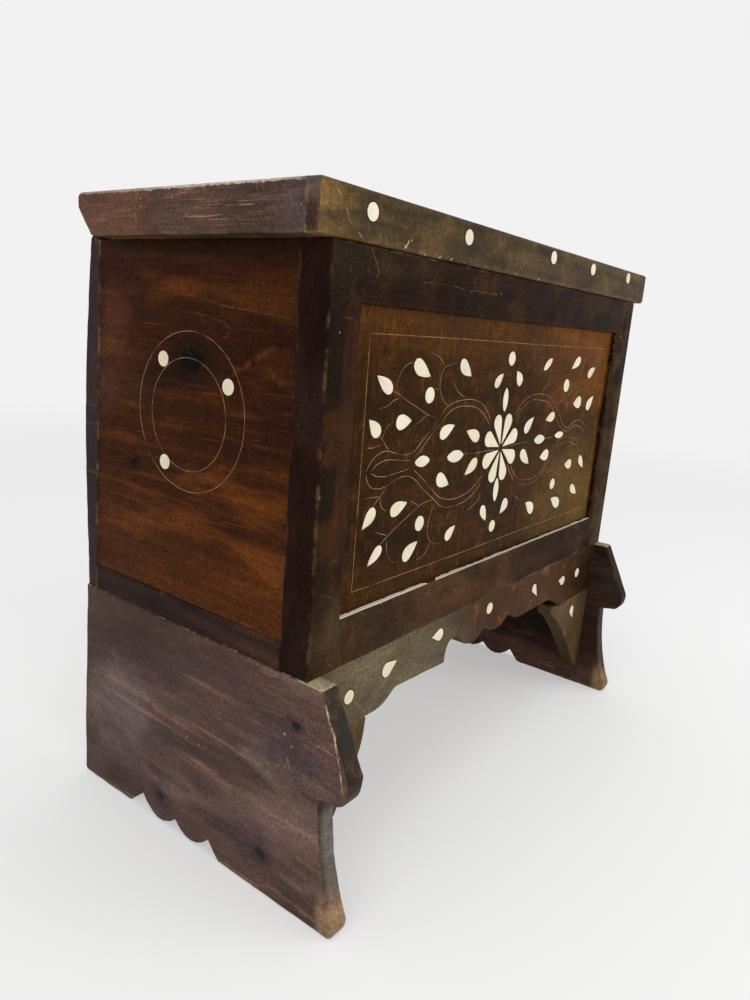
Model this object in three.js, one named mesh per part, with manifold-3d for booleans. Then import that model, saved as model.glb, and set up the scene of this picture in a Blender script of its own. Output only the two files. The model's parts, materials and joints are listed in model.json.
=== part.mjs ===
// A small wooden dowry chest on two board feet, with bone inlay and a hinged lid.
// Millimetres, +Z up. The front faces -Y and +X is to the viewer's right.
// Depths are measured back from the front face of the carcass, and the last lines
// move the whole chest so that its origin is the middle of its footprint, on the floor.

import * as THREE from "three";
import { mergeVertices } from "three/addons/utils/BufferGeometryUtils.js";
import Module from "manifold-3d";

const wasm = await Module();
wasm.setup();

// Clearance between pieces that are cut into each other, and the running gap under the lid
const GAP = 0.3;
const LID_SEAT_GAP = 0.4;

// How far a cutting shape runs past the face it cuts, and how finely curves are stepped
const OVERCUT = 1;
const CURVE_STEPS = 6;

// Carcass
const CARCASS_WIDTH = 600;
const CARCASS_TOP = 530;
const FOOT_HEIGHT = 207.5;

// Front frame: stiles and rails with a mitred bevel and an inner lip around the panel
const FRAME_WIDTH = 40;
const FRAME_DEPTH = 30;
const BEVEL_WIDTH = 20;
const BEVEL_DEPTH = 4;
const LIP_DEPTH = 5;
const FRONT_PANEL_THICKNESS = 12;
const PANEL_TONGUE = 8;
const TENON_LENGTH = 20;
const TENON_THICKNESS = 10;
const TENON_SETBACK = 10;
const TENON_SHOULDER = 8;
const TENON_TO_PANEL = 2;
const MORTISE_SPARE = 1;

// Sides
const SIDE_RECESS = 1;
const SIDE_THICKNESS = 16;
const SIDE_TONGUE_THICKNESS = 10;
const SIDE_RAIL_HEIGHT = 23.5;
const SIDE_RAIL_THICKNESS = 17;

// Back: a slab that leans outwards towards the floor, its outer face left with a belly
const BACK_DEPTH_TOP = 267.5;
const BACK_LEAN = 9;
const BACK_THICKNESS = 14.5;
const BACK_BELLY = 7;
const BACK_BELLY_STEPS = 8;

// Bottom boards and the cleats that carry them
const BOTTOM_THICKNESS = 12;
const BOTTOM_FRONT_BOARD = 125;
const CLEAT_WIDTH = 20;
const CLEAT_HEIGHT = 20;
const CLEAT_BACK_MARGIN = 14;

// Foot boards, seen from the side. Depths in front of the carcass are reaches, the ear
// is measured down from the board's top and the leg up from the floor.
const FOOT_THICKNESS = 19;
const FOOT_PROUD = 2;
const FOOT_SPLAY = 6.5;
const FOOT_SPLAY_HEIGHT = 50;
const HEEL_RADIUS = 5;
const EAR_FLAT = 17;
const EAR_REACH = 49;
const EAR_SLOPE_DROP = 64.5;
const EAR_DROP_LEFT = 91.5;
const EAR_DROP_RIGHT = 88;
const EAR_NOSE_LENGTH = 13;
const EAR_NOSE_LIFT = 3;
const LEG_NECK_REACH = 21;
const LEG_SWELL_START = [22.5, 66];
const LEG_SWELL_END = [37, 25];
const TOE_REACH = 43;
const TOE_HEIGHT = 11;
const TOE_UNDERCUT = 6;

// Saw cuts in the foot boards' lower edge, front to back: depth from the front and height
const FOOT_CUT_START = 91;
const FOOT_CUSPS = [[105, 15], [151, 12.5], [202, 19.5]];
const FOOT_CUT_END = 220;
const FOOT_LOBE_LOW = 1.5;

// Front apron. Its lower edge drops at both ends, in a short sweep on the left and a
// long one on the right: where each starts from the foot board, how wide it is, and how
// far along it the curve's two handles lie.
const APRON_THICKNESS = 19;
const APRON_SWEEP_LEFT = { drop: 60.5, start: 75, width: 32, handles: [18, 26] };
const APRON_SWEEP_RIGHT = { drop: 65, start: 85, width: 58, handles: [29, 29] };
const APRON_DEPTH = 48;
const APRON_STEP_X = -94;
const APRON_STEP_SAG = 4;
const APRON_CUSPS = [[-73, 30], [-15, 36.5], [40, 36]];
const APRON_HOOK_FLAT = 9;
const APRON_LAST_LOBE = 32;
const APRON_LOBE_DEPTH = 47;

// Brackets below the apron's ends, sawn by eye. Each outline runs along its flat top to
// the tip and the nose and down the curved free edge to the foot board. Its points are
// distances from the foot board and below the carcass; foot is a height above the floor.
const BRACKET_LEFT = {
  top: 62, tip: [64, 61.5], nose: [63.5, 68], shoulder: [62.5, 88.5], bend: [47, 112.5], foot: 24,
};
const BRACKET_RIGHT = {
  top: 96, tip: [122, 60.5], nose: [118, 73], shoulder: [93, 85], bend: [59, 121.5], foot: 22,
};

// Lid: two thick boards, edged at the front and at both ends
const LID_THICKNESS = 35;
const LID_FRONT_OVERHANG = 4;
const LID_FRONT_EDGING = 12;
const LID_END_EDGING = 19.5;
const LID_PAST_HINGE = 2;
const LID_BOARD_JOINT = 139;
const LID_EDGING_JOINT = 188;
const LID_BEVEL_DEPTH = 18;
const LID_BEVEL_HEIGHT = 23;
const LID_BACK_ARRIS = 3;
const BATTEN_WIDTH = 30;
const BATTEN_THICKNESS = 14;
const BATTEN_INSET = 50;
const BATTEN_FRONT = 42;
const BATTEN_BACK_MARGIN = 22.5;

// Iron butt hinges: knuckles in front of the back board's top edge
const HINGE_X = 180;
const HINGE_LENGTH = 60;
const HINGE_LEAF = 1.8;
const KNUCKLE_RADIUS = 3.8;
const KNUCKLE_LIFT = 0.1;
const KNUCKLE_INSET = 0.5;
const KNUCKLE_SIDES = 20;
const MIDDLE_KNUCKLE = 20;
const HINGE_LID_LEAF_WIDTH = 46;
const HINGE_CHEST_LEAF_WIDTH = 12;
const LEAF_NOTCH = 0.6;
const PIN_RADIUS = 1.6;
const PIN_HEAD_RADIUS = 2.6;
const PIN_HEAD_LENGTH = 1.5;

// Bone inlay: each piece is let into its board and stands a little proud. A place across
// the front is an offset from the left end (-1), the middle (0) or the right end (1).
const BONE_THICKNESS = 2.5;
const BONE_PROUD = 0.3;
const DOT_SIDES = 20;
const LID_DOTS = [[-1, 54.5, 21], [-1, 185.5, 22], [0, 33, 25], [1, -181.5, 24.5], [1, -67.5, 26]];
const LID_DOT_RADIUS = 6.3;
const SIDE_DOTS = [[99, 213], [175.5, 141.5], [179, 228]];
const SIDE_DOT_RADIUS = 6.5;
const ROSETTE_X = -10;
const ROSETTE_DROP = 5.25;
const PETAL_COUNT = 8;
const PETAL_INNER = 4;
const PETAL_LENGTH = 33;
const PETAL_RADIUS = 7.8;

// Apron inlay: place across the front and below the carcass, length, widest radius, and
// where the tip points
const APRON_BONES = [
  { end: -1, offset: 37, drop: 32, length: 12.6, radius: 6.2, points: 90 },
  { end: -1, offset: 93, drop: 24, length: 22, radius: 7, points: 18 },
  { end: -1, offset: 170, drop: 17, length: 20, radius: 6.2, points: 178 },
  { end: 0, offset: -9.5, drop: 16.5, length: 13, radius: 6.4, points: 0 },
  { end: 1, offset: -179, drop: 24.5, length: 21, radius: 5.2, points: -50 },
  { end: 1, offset: -100, drop: 30, length: 19, radius: 6, points: 168 },
  { end: 1, offset: -50, drop: 30.5, length: 12.4, radius: 6.1, points: 0 },
];
const BRACKET_BONE = { end: 1, offset: -48, drop: 87, length: 20, radius: 6, points: -65 };

// Colours and finish
const WOOD_DARK = { color: 0x2e1d19, roughness: 0.45, metalness: 0 };
const WOOD_WARM = { color: 0x4a2812, roughness: 0.42, metalness: 0 };
const WOOD_LID = { color: 0x4b3829, roughness: 0.5, metalness: 0 };
const WOOD_FOOT = { color: 0x3d2a27, roughness: 0.48, metalness: 0 };
const WOOD_BARE = { color: 0x6d4a2c, roughness: 0.7, metalness: 0 };
const BONE = { color: 0xe3d9bb, roughness: 0.4, metalness: 0 };
const IRON = { color: 0x35312e, roughness: 0.6, metalness: 0.9 };

// Places worked out from the dimensions above
const halfWidth = CARCASS_WIDTH / 2;
const footOuter = halfWidth + FOOT_PROUD;
const footInner = footOuter - FOOT_THICKNESS;
const openingHalf = halfWidth - FRAME_WIDTH;
const openingBottom = FOOT_HEIGHT + FRAME_WIDTH;
const openingTop = CARCASS_TOP - FRAME_WIDTH;
const panelFront = BEVEL_DEPTH + LIP_DEPTH;
const sideOuter = halfWidth - SIDE_RECESS;
const sideRailTop = FOOT_HEIGHT + SIDE_RAIL_HEIGHT;
const backDepthBottom = BACK_DEPTH_TOP + BACK_LEAN;
const backRailOuter = backDepthBottom + BACK_THICKNESS;
const lidUnderside = CARCASS_TOP + LID_SEAT_GAP;
const lidTop = lidUnderside + LID_THICKNESS;
const lidFrontJoint = LID_FRONT_EDGING - LID_FRONT_OVERHANG;
const lidEndOuter = halfWidth + LID_END_EDGING;
const hingeDepth = BACK_DEPTH_TOP + KNUCKLE_INSET;
const hingeHeight = CARCASS_TOP + KNUCKLE_RADIUS + KNUCKLE_LIFT;
const lidBack = hingeDepth + LID_PAST_HINGE;
const lidLeafTop = lidUnderside + GAP + HINGE_LEAF;
const middleDepth = (backRailOuter + FOOT_SPLAY - EAR_REACH) / 2;

const group = new THREE.Group();

// Turns a closed geometry into a solid that can be cut and joined.
function solidOf(geometry) {
  const bare = geometry.clone();
  bare.deleteAttribute("normal");
  bare.deleteAttribute("uv");
  const merged = mergeVertices(bare);
  return new wasm.Manifold(new wasm.Mesh({
    numProp: 3,
    vertProperties: merged.attributes.position.array,
    triVerts: new Uint32Array(merged.index.array),
  }));
}

function geometryOf(solid) {
  const mesh = solid.getMesh();
  const geometry = new THREE.BufferGeometry();
  geometry.setAttribute("position", new THREE.BufferAttribute(mesh.vertProperties, 3));
  geometry.setIndex(new THREE.BufferAttribute(mesh.triVerts, 1));
  geometry.computeVertexNormals();
  return geometry;
}

function addPiece(name, solid, finish) {
  const mesh = new THREE.Mesh(geometryOf(solid), new THREE.MeshStandardMaterial(finish));
  mesh.name = name;
  group.add(mesh);
}

// A block between two values on each axis, in either order.
function block([xA, xB], [yA, yB], [zA, zB]) {
  const geometry = new THREE.BoxGeometry(Math.abs(xB - xA), Math.abs(yB - yA), Math.abs(zB - zA));
  geometry.translate((xA + xB) / 2, (yA + yB) / 2, (zA + zB) / 2);
  return solidOf(geometry);
}

function outlineOf(points) {
  return new THREE.Shape(points.map(([a, b]) => new THREE.Vector2(a, b)));
}

// Pushes a front-view outline (x, z) from one depth to another.
function alongDepth(shape, yFront, yBack) {
  const geometry = new THREE.ExtrudeGeometry(shape, {
    depth: yBack - yFront, bevelEnabled: false, curveSegments: CURVE_STEPS,
  });
  const right = new THREE.Vector3(1, 0, 0);
  const up = new THREE.Vector3(0, 0, 1);
  const forward = new THREE.Vector3(0, -1, 0);
  geometry.applyMatrix4(new THREE.Matrix4().makeBasis(right, up, forward));
  geometry.translate(0, yBack, 0);
  return solidOf(geometry);
}

// Pushes a side-view outline (depth, z) from one x to another.
function alongWidth(shape, xLeft, xRight) {
  const geometry = new THREE.ExtrudeGeometry(shape, {
    depth: xRight - xLeft, bevelEnabled: false, curveSegments: CURVE_STEPS,
  });
  const back = new THREE.Vector3(0, 1, 0);
  const up = new THREE.Vector3(0, 0, 1);
  const right = new THREE.Vector3(1, 0, 0);
  geometry.applyMatrix4(new THREE.Matrix4().makeBasis(back, up, right));
  geometry.translate(xLeft, 0, 0);
  return solidOf(geometry);
}

// Adds a rounded lobe that hangs from the outline's last point to the next cusp.
function hangLobe(shape, toX, toZ, lowest) {
  const from = shape.currentPoint;
  const control = 2 * lowest - (from.y + toZ) / 2;
  shape.quadraticCurveTo((from.x + toX) / 2, control, toX, toZ);
}

// Front frame

// The opening as it is cut: straight through, and flared over the bevel at the front.
function frameOpening() {
  const through = block([-openingHalf, openingHalf], [BEVEL_DEPTH, FRAME_DEPTH + OVERCUT],
    [openingBottom, openingTop]);
  const flare = new THREE.BoxGeometry(2, 2, 2);
  const corner = flare.attributes.position;
  const middleZ = (openingBottom + openingTop) / 2;
  const halfHeight = (openingTop - openingBottom) / 2;
  for (let i = 0; i < corner.count; i += 1) {
    const atFront = corner.getY(i) < 0;
    const spread = atFront ? 2 * BEVEL_WIDTH : 0;
    const x = corner.getX(i) * (openingHalf + spread);
    const z = middleZ + corner.getZ(i) * (halfHeight + spread);
    corner.setXYZ(i, x, atFront ? -BEVEL_DEPTH : BEVEL_DEPTH, z);
  }
  return through.add(solidOf(flare));
}

function frontPanelBlank(clearance) {
  const reach = PANEL_TONGUE + clearance;
  return block([-openingHalf - reach, openingHalf + reach],
    [panelFront - clearance, panelFront + FRONT_PANEL_THICKNESS + clearance],
    [openingBottom - reach, openingTop + reach]);
}

// A rail's tenon at one end, grown by a clearance when it is cut as a mortise.
function tenon(side, zLow, zHigh, clearance) {
  const endSpare = clearance > 0 ? MORTISE_SPARE : 0;
  return block([side * openingHalf, side * (openingHalf + TENON_LENGTH + endSpare)],
    [TENON_SETBACK - clearance, TENON_SETBACK + TENON_THICKNESS + clearance],
    [zLow - clearance, zHigh + clearance]);
}

const railTenons = {
  front_bottom_rail: [FOOT_HEIGHT + TENON_SHOULDER, openingBottom - PANEL_TONGUE - TENON_TO_PANEL],
  front_top_rail: [openingTop + PANEL_TONGUE + TENON_TO_PANEL, CARCASS_TOP - TENON_SHOULDER],
};

function frameMember(xRange, zRange) {
  return block(xRange, [0, FRAME_DEPTH], zRange)
    .subtract(frameOpening())
    .subtract(frontPanelBlank(GAP));
}

function sideTongue(side, clearance) {
  const middle = sideOuter - SIDE_THICKNESS / 2;
  const half = SIDE_TONGUE_THICKNESS / 2 + clearance;
  const depth = FRAME_DEPTH - PANEL_TONGUE - clearance;
  return block([side * (middle - half), side * (middle + half)], [depth, FRAME_DEPTH],
    [sideRailTop, CARCASS_TOP]);
}

function addFrontStile(side, name) {
  let stile = frameMember([side * openingHalf, side * halfWidth], [FOOT_HEIGHT, CARCASS_TOP])
    .subtract(sideTongue(side, GAP));
  for (const [zLow, zHigh] of Object.values(railTenons)) {
    stile = stile.subtract(tenon(side, zLow, zHigh, GAP));
  }
  addPiece(name, stile, WOOD_DARK);
}

function addFrontRail(name, zRange) {
  const [zLow, zHigh] = railTenons[name];
  let rail = frameMember([-openingHalf, openingHalf], zRange);
  for (const side of [-1, 1]) {
    rail = rail.add(tenon(side, zLow, zHigh, 0));
  }
  addPiece(name, rail, WOOD_DARK);
}

// Bone inlay

// A drop with its point at the start of its length, along +x of its own frame.
function dropShape(length, radius, clearance) {
  const toCentre = length - radius;
  const grown = radius + clearance;
  const shape = new THREE.Shape();
  if (toCentre <= radius) {
    return shape.absarc(toCentre, 0, grown, 0, 2 * Math.PI, false);
  }
  const halfAngle = Math.asin(radius / toCentre);
  const touch = Math.PI / 2 + halfAngle;
  shape.moveTo(-clearance / Math.sin(halfAngle), 0);
  shape.lineTo(toCentre + grown * Math.cos(touch), -grown * Math.sin(touch));
  shape.absarc(toCentre, 0, grown, -touch, touch, false);
  return shape;
}

// Points of an inlay outline, turned about its middle and placed in the front view.
function placedDrop(bone, x, z, clearance) {
  const turn = THREE.MathUtils.degToRad(bone.points + 180);
  const flat = dropShape(bone.length, bone.radius, clearance).getPoints(CURVE_STEPS);
  return outlineOf(flat.map((point) => {
    const along = point.x - bone.length / 2;
    return [
      x + along * Math.cos(turn) - point.y * Math.sin(turn),
      z + along * Math.sin(turn) + point.y * Math.cos(turn),
    ];
  }));
}

function dotShape(x, z, radius) {
  const points = [];
  for (let i = 0; i < DOT_SIDES; i += 1) {
    const angle = (2 * Math.PI * i) / DOT_SIDES;
    points.push([x + radius * Math.cos(angle), z + radius * Math.sin(angle)]);
  }
  return outlineOf(points);
}

// Lets front-facing bone pieces into a board whose face lies at one depth.
function inlayFront(board, faceDepth, pieces) {
  const floor = faceDepth + BONE_THICKNESS - BONE_PROUD;
  let cut = board;
  for (const { name, outline } of pieces) {
    cut = cut.subtract(alongDepth(outline(GAP), faceDepth - OVERCUT, floor));
    addPiece(name, alongDepth(outline(0), faceDepth - BONE_PROUD, floor), BONE);
  }
  return cut;
}

function addFrontPanel() {
  const centreZ = (openingBottom + openingTop) / 2 - ROSETTE_DROP;
  const petals = [];
  for (let i = 0; i < PETAL_COUNT; i += 1) {
    const degrees = (360 * (i + 0.5)) / PETAL_COUNT;
    const angle = THREE.MathUtils.degToRad(degrees);
    const reach = PETAL_INNER + PETAL_LENGTH / 2;
    const petal = { length: PETAL_LENGTH, radius: PETAL_RADIUS, points: degrees + 180 };
    const x = ROSETTE_X + reach * Math.cos(angle);
    const z = centreZ + reach * Math.sin(angle);
    petals.push({
      name: `rosette_petal_${i + 1}`,
      outline: (clearance) => placedDrop(petal, x, z, clearance),
    });
  }
  addPiece("front_panel", inlayFront(frontPanelBlank(0), panelFront, petals), WOOD_WARM);
}

// Feet, apron and brackets

function footShape(earDrop) {
  const shape = new THREE.Shape();
  const footBack = backRailOuter + FOOT_SPLAY;
  const earLow = FOOT_HEIGHT - earDrop;
  const noseLow = earLow + EAR_NOSE_LIFT;
  shape.moveTo(backRailOuter, FOOT_HEIGHT);
  shape.lineTo(-EAR_FLAT, FOOT_HEIGHT);
  shape.lineTo(-EAR_REACH, FOOT_HEIGHT - EAR_SLOPE_DROP);
  shape.quadraticCurveTo(-EAR_REACH, noseLow, -EAR_REACH + EAR_NOSE_LENGTH, noseLow);
  shape.lineTo(-LEG_NECK_REACH, earLow);
  shape.quadraticCurveTo(-LEG_SWELL_START[0], LEG_SWELL_START[1], -LEG_SWELL_END[0], LEG_SWELL_END[1]);
  shape.lineTo(-TOE_REACH, TOE_HEIGHT);
  shape.quadraticCurveTo(-TOE_REACH, 0, -TOE_REACH + TOE_UNDERCUT, 0);
  shape.lineTo(FOOT_CUT_START, 0);
  shape.lineTo(...FOOT_CUSPS[0]);
  for (const [depth, height] of FOOT_CUSPS.slice(1)) {
    hangLobe(shape, depth, height, FOOT_LOBE_LOW);
  }
  shape.lineTo(FOOT_CUT_END, 0);
  shape.lineTo(footBack - HEEL_RADIUS, 0);
  shape.quadraticCurveTo(footBack, 0, footBack, HEEL_RADIUS);
  shape.lineTo(footBack, FOOT_SPLAY_HEIGHT);
  shape.closePath();
  return shape;
}

function addFootBoards() {
  addPiece("foot_board_left", alongWidth(footShape(EAR_DROP_LEFT), -footOuter, -footInner), WOOD_FOOT);
  addPiece("foot_board_right", alongWidth(footShape(EAR_DROP_RIGHT), footInner, footOuter), WOOD_FOOT);
}

// The apron's lower edge, from left to right: end, sweep, flat, step, lobes, flat, sweep, end.
function apronShape() {
  const shape = new THREE.Shape();
  const endLeft = FOOT_HEIGHT - APRON_SWEEP_LEFT.drop;
  const endRight = FOOT_HEIGHT - APRON_SWEEP_RIGHT.drop;
  const flat = FOOT_HEIGHT - APRON_DEPTH;
  const sweepLeft = (along) => APRON_SWEEP_LEFT.start + along - footInner;
  const sweepRight = (along) => footInner - APRON_SWEEP_RIGHT.start - along;
  const cusps = APRON_CUSPS.map(([x, drop]) => [x, FOOT_HEIGHT - drop]);
  const [firstX, firstZ] = cusps[0];
  const [lastX] = cusps[cusps.length - 1];
  shape.moveTo(-footInner, FOOT_HEIGHT);
  shape.lineTo(-footInner, endLeft);
  shape.lineTo(sweepLeft(0), endLeft);
  shape.bezierCurveTo(sweepLeft(APRON_SWEEP_LEFT.handles[0]), endLeft,
    sweepLeft(APRON_SWEEP_LEFT.handles[1]), flat, sweepLeft(APRON_SWEEP_LEFT.width), flat);
  shape.lineTo(APRON_STEP_X, flat - APRON_STEP_SAG);
  shape.quadraticCurveTo(APRON_STEP_X, firstZ, firstX - APRON_HOOK_FLAT, firstZ);
  shape.lineTo(firstX, firstZ);
  for (const [x, z] of cusps.slice(1)) {
    hangLobe(shape, x, z, FOOT_HEIGHT - APRON_LOBE_DEPTH);
  }
  shape.quadraticCurveTo(lastX + APRON_LAST_LOBE / 2, flat, lastX + APRON_LAST_LOBE, flat);
  shape.lineTo(sweepRight(APRON_SWEEP_RIGHT.width), flat);
  shape.bezierCurveTo(sweepRight(APRON_SWEEP_RIGHT.handles[1]), flat,
    sweepRight(APRON_SWEEP_RIGHT.handles[0]), endRight, sweepRight(0), endRight);
  shape.lineTo(footInner, endRight);
  shape.lineTo(footInner, FOOT_HEIGHT);
  return shape;
}

function apronInlay(bone, name) {
  const x = bone.end * footInner + bone.offset;
  const z = FOOT_HEIGHT - bone.drop;
  return { name, outline: (clearance) => placedDrop(bone, x, z, clearance) };
}

function addApron() {
  const pieces = APRON_BONES.map((bone, i) => apronInlay(bone, `apron_bone_${i + 1}`));
  const board = alongDepth(apronShape(), 0, APRON_THICKNESS);
  addPiece("apron_front", inlayFront(board, 0, pieces), WOOD_FOOT);
}

// A curved bracket that fills the corner between an apron end and its foot board.
function bracketShape(side, { top, tip, nose, shoulder, bend, foot }, drop) {
  const place = ([distance, below]) => [side * (footInner - distance), FOOT_HEIGHT - below];
  const shape = new THREE.Shape();
  shape.moveTo(...place([0, drop]));
  shape.lineTo(...place([top, drop]));
  shape.lineTo(...place(tip));
  shape.lineTo(...place(nose));
  shape.quadraticCurveTo(...place(shoulder), ...place(bend));
  shape.lineTo(...place([0, FOOT_HEIGHT - foot]));
  return shape;
}

function addBrackets() {
  const left = bracketShape(-1, BRACKET_LEFT, APRON_SWEEP_LEFT.drop);
  const right = bracketShape(1, BRACKET_RIGHT, APRON_SWEEP_RIGHT.drop);
  addPiece("foot_bracket_left", alongDepth(left, 0, APRON_THICKNESS), WOOD_FOOT);
  const bones = [apronInlay(BRACKET_BONE, "bracket_bone")];
  const board = alongDepth(right, 0, APRON_THICKNESS);
  addPiece("foot_bracket_right", inlayFront(board, 0, bones), WOOD_FOOT);
}

// Sides, back and bottom

function addSideRail(side, name) {
  addPiece(name, block([side * (halfWidth - SIDE_RAIL_THICKNESS), side * halfWidth],
    [FRAME_DEPTH, backDepthBottom], [FOOT_HEIGHT, sideRailTop]), WOOD_DARK);
}

function sidePanelBlank(side) {
  const outline = outlineOf([
    [FRAME_DEPTH, sideRailTop],
    [backDepthBottom - GAP, sideRailTop],
    [BACK_DEPTH_TOP - GAP, CARCASS_TOP],
    [FRAME_DEPTH, CARCASS_TOP],
  ]);
  const [xLeft, xRight] = [side * (sideOuter - SIDE_THICKNESS), side * sideOuter].sort((a, b) => a - b);
  return alongWidth(outline, xLeft, xRight).add(sideTongue(side, 0));
}

function addSidePanels() {
  const floor = BONE_THICKNESS - BONE_PROUD - sideOuter;
  let left = sidePanelBlank(-1);
  SIDE_DOTS.forEach(([depth, height], i) => {
    const place = [depth, FOOT_HEIGHT + height];
    const pocket = dotShape(...place, SIDE_DOT_RADIUS + GAP);
    left = left.subtract(alongWidth(pocket, -sideOuter - OVERCUT, floor));
    const dot = alongWidth(dotShape(...place, SIDE_DOT_RADIUS), -sideOuter - BONE_PROUD, floor);
    addPiece(`side_bone_${i + 1}`, dot, BONE);
  });
  addPiece("side_panel_left", left, WOOD_WARM);
  addPiece("side_panel_right", sidePanelBlank(1), WOOD_WARM);
}

// The top of the back board is cut down for the chest leaves of the hinges.
function hingeBed(x) {
  const half = HINGE_LENGTH / 2 + GAP;
  return block([x - half, x + half],
    [BACK_DEPTH_TOP - OVERCUT, hingeDepth + HINGE_CHEST_LEAF_WIDTH + GAP],
    [CARCASS_TOP - HINGE_LEAF, CARCASS_TOP + OVERCUT]);
}

function addBack() {
  const points = [[backDepthBottom, sideRailTop], [BACK_DEPTH_TOP, CARCASS_TOP]];
  for (let i = 0; i <= BACK_BELLY_STEPS; i += 1) {
    const share = i / BACK_BELLY_STEPS;
    const depth = BACK_DEPTH_TOP + BACK_THICKNESS + BACK_LEAN * share;
    const height = CARCASS_TOP + (sideRailTop - CARCASS_TOP) * share;
    points.push([depth + BACK_BELLY * Math.sin(Math.PI * share), height]);
  }
  const board = alongWidth(outlineOf(points), -halfWidth, halfWidth)
    .subtract(hingeBed(-HINGE_X))
    .subtract(hingeBed(HINGE_X));
  addPiece("back_board", board, WOOD_DARK);
  addPiece("back_rail", block([-halfWidth, halfWidth], [backDepthBottom, backRailOuter],
    [FOOT_HEIGHT, sideRailTop]), WOOD_DARK);
}

function addBottom() {
  const inner = halfWidth - SIDE_RAIL_THICKNESS;
  const joint = FRAME_DEPTH + BOTTOM_FRONT_BOARD;
  const zRange = [FOOT_HEIGHT, FOOT_HEIGHT + BOTTOM_THICKNESS];
  addPiece("bottom_board_front", block([-inner, inner], [FRAME_DEPTH, joint], zRange), WOOD_BARE);
  addPiece("bottom_board_rear", block([-inner, inner], [joint, backDepthBottom], zRange), WOOD_BARE);
  for (const [side, name] of [[-1, "bottom_cleat_left"], [1, "bottom_cleat_right"]]) {
    addPiece(name, block([side * (footInner - CLEAT_WIDTH), side * footInner],
      [APRON_THICKNESS, backDepthBottom - CLEAT_BACK_MARGIN],
      [FOOT_HEIGHT - CLEAT_HEIGHT, FOOT_HEIGHT]), WOOD_BARE);
  }
}

// Lid

// A lid board's end view; the rearmost one has the bevel that lets the lid swing past upright.
function lidOutline(front, back) {
  if (back < lidBack) {
    return outlineOf([[front, lidUnderside], [back, lidUnderside], [back, lidTop], [front, lidTop]]);
  }
  return outlineOf([
    [front, lidUnderside],
    [lidBack - LID_BEVEL_DEPTH, lidUnderside],
    [lidBack, lidUnderside + LID_BEVEL_HEIGHT],
    [lidBack, lidTop - LID_BACK_ARRIS],
    [lidBack - LID_BACK_ARRIS, lidTop],
    [front, lidTop],
  ]);
}

// The lid boards' undersides are cut for the lid leaves of the hinges.
function cutLidLeafBeds(board) {
  const half = HINGE_LENGTH / 2 + GAP;
  const front = hingeDepth - HINGE_LID_LEAF_WIDTH - GAP;
  return [-HINGE_X, HINGE_X].reduce((cut, x) => cut.subtract(
    block([x - half, x + half], [front, hingeDepth], [lidUnderside - OVERCUT, lidLeafTop])), board);
}

function addLidFrontEdging() {
  const board = block([-lidEndOuter, lidEndOuter], [-LID_FRONT_OVERHANG, lidFrontJoint],
    [lidUnderside, lidTop]);
  const dots = LID_DOTS.map(([end, offset, height], i) => ({
    name: `lid_bone_${i + 1}`,
    outline: (clearance) => dotShape(end * lidEndOuter + offset, lidUnderside + height,
      LID_DOT_RADIUS + clearance),
  }));
  addPiece("lid_front_edging", inlayFront(board, -LID_FRONT_OVERHANG, dots), WOOD_LID);
}

function addLid() {
  const front = alongWidth(lidOutline(lidFrontJoint, LID_BOARD_JOINT), -halfWidth, halfWidth);
  const rear = alongWidth(lidOutline(LID_BOARD_JOINT, lidBack), -halfWidth, halfWidth);
  addPiece("lid_board_front", cutLidLeafBeds(front), WOOD_LID);
  addPiece("lid_board_rear", cutLidLeafBeds(rear), WOOD_LID);
  addLidFrontEdging();
  for (const [side, name] of [[-1, "left"], [1, "right"]]) {
    const [xLeft, xRight] = [side * halfWidth, side * lidEndOuter].sort((a, b) => a - b);
    const long = alongWidth(lidOutline(lidFrontJoint, LID_EDGING_JOINT), xLeft, xRight);
    const short = alongWidth(lidOutline(LID_EDGING_JOINT, lidBack), xLeft, xRight);
    addPiece(`lid_end_edging_${name}_front`, long, WOOD_LID);
    addPiece(`lid_end_edging_${name}_rear`, short, WOOD_LID);
    const battenX = side * (halfWidth - BATTEN_INSET);
    addPiece(`lid_batten_${name}`, block([battenX - BATTEN_WIDTH / 2, battenX + BATTEN_WIDTH / 2],
      [BATTEN_FRONT, BACK_DEPTH_TOP - BATTEN_BACK_MARGIN],
      [lidUnderside - BATTEN_THICKNESS, lidUnderside]), WOOD_BARE);
  }
}

// Hinges

// A round bar along the hinge axis.
function rod(radius, xLeft, xRight) {
  const points = [];
  for (let i = 0; i < KNUCKLE_SIDES; i += 1) {
    const angle = (2 * Math.PI * i) / KNUCKLE_SIDES;
    points.push([hingeDepth + radius * Math.cos(angle), hingeHeight + radius * Math.sin(angle)]);
  }
  return alongWidth(outlineOf(points), xLeft, xRight);
}

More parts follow.
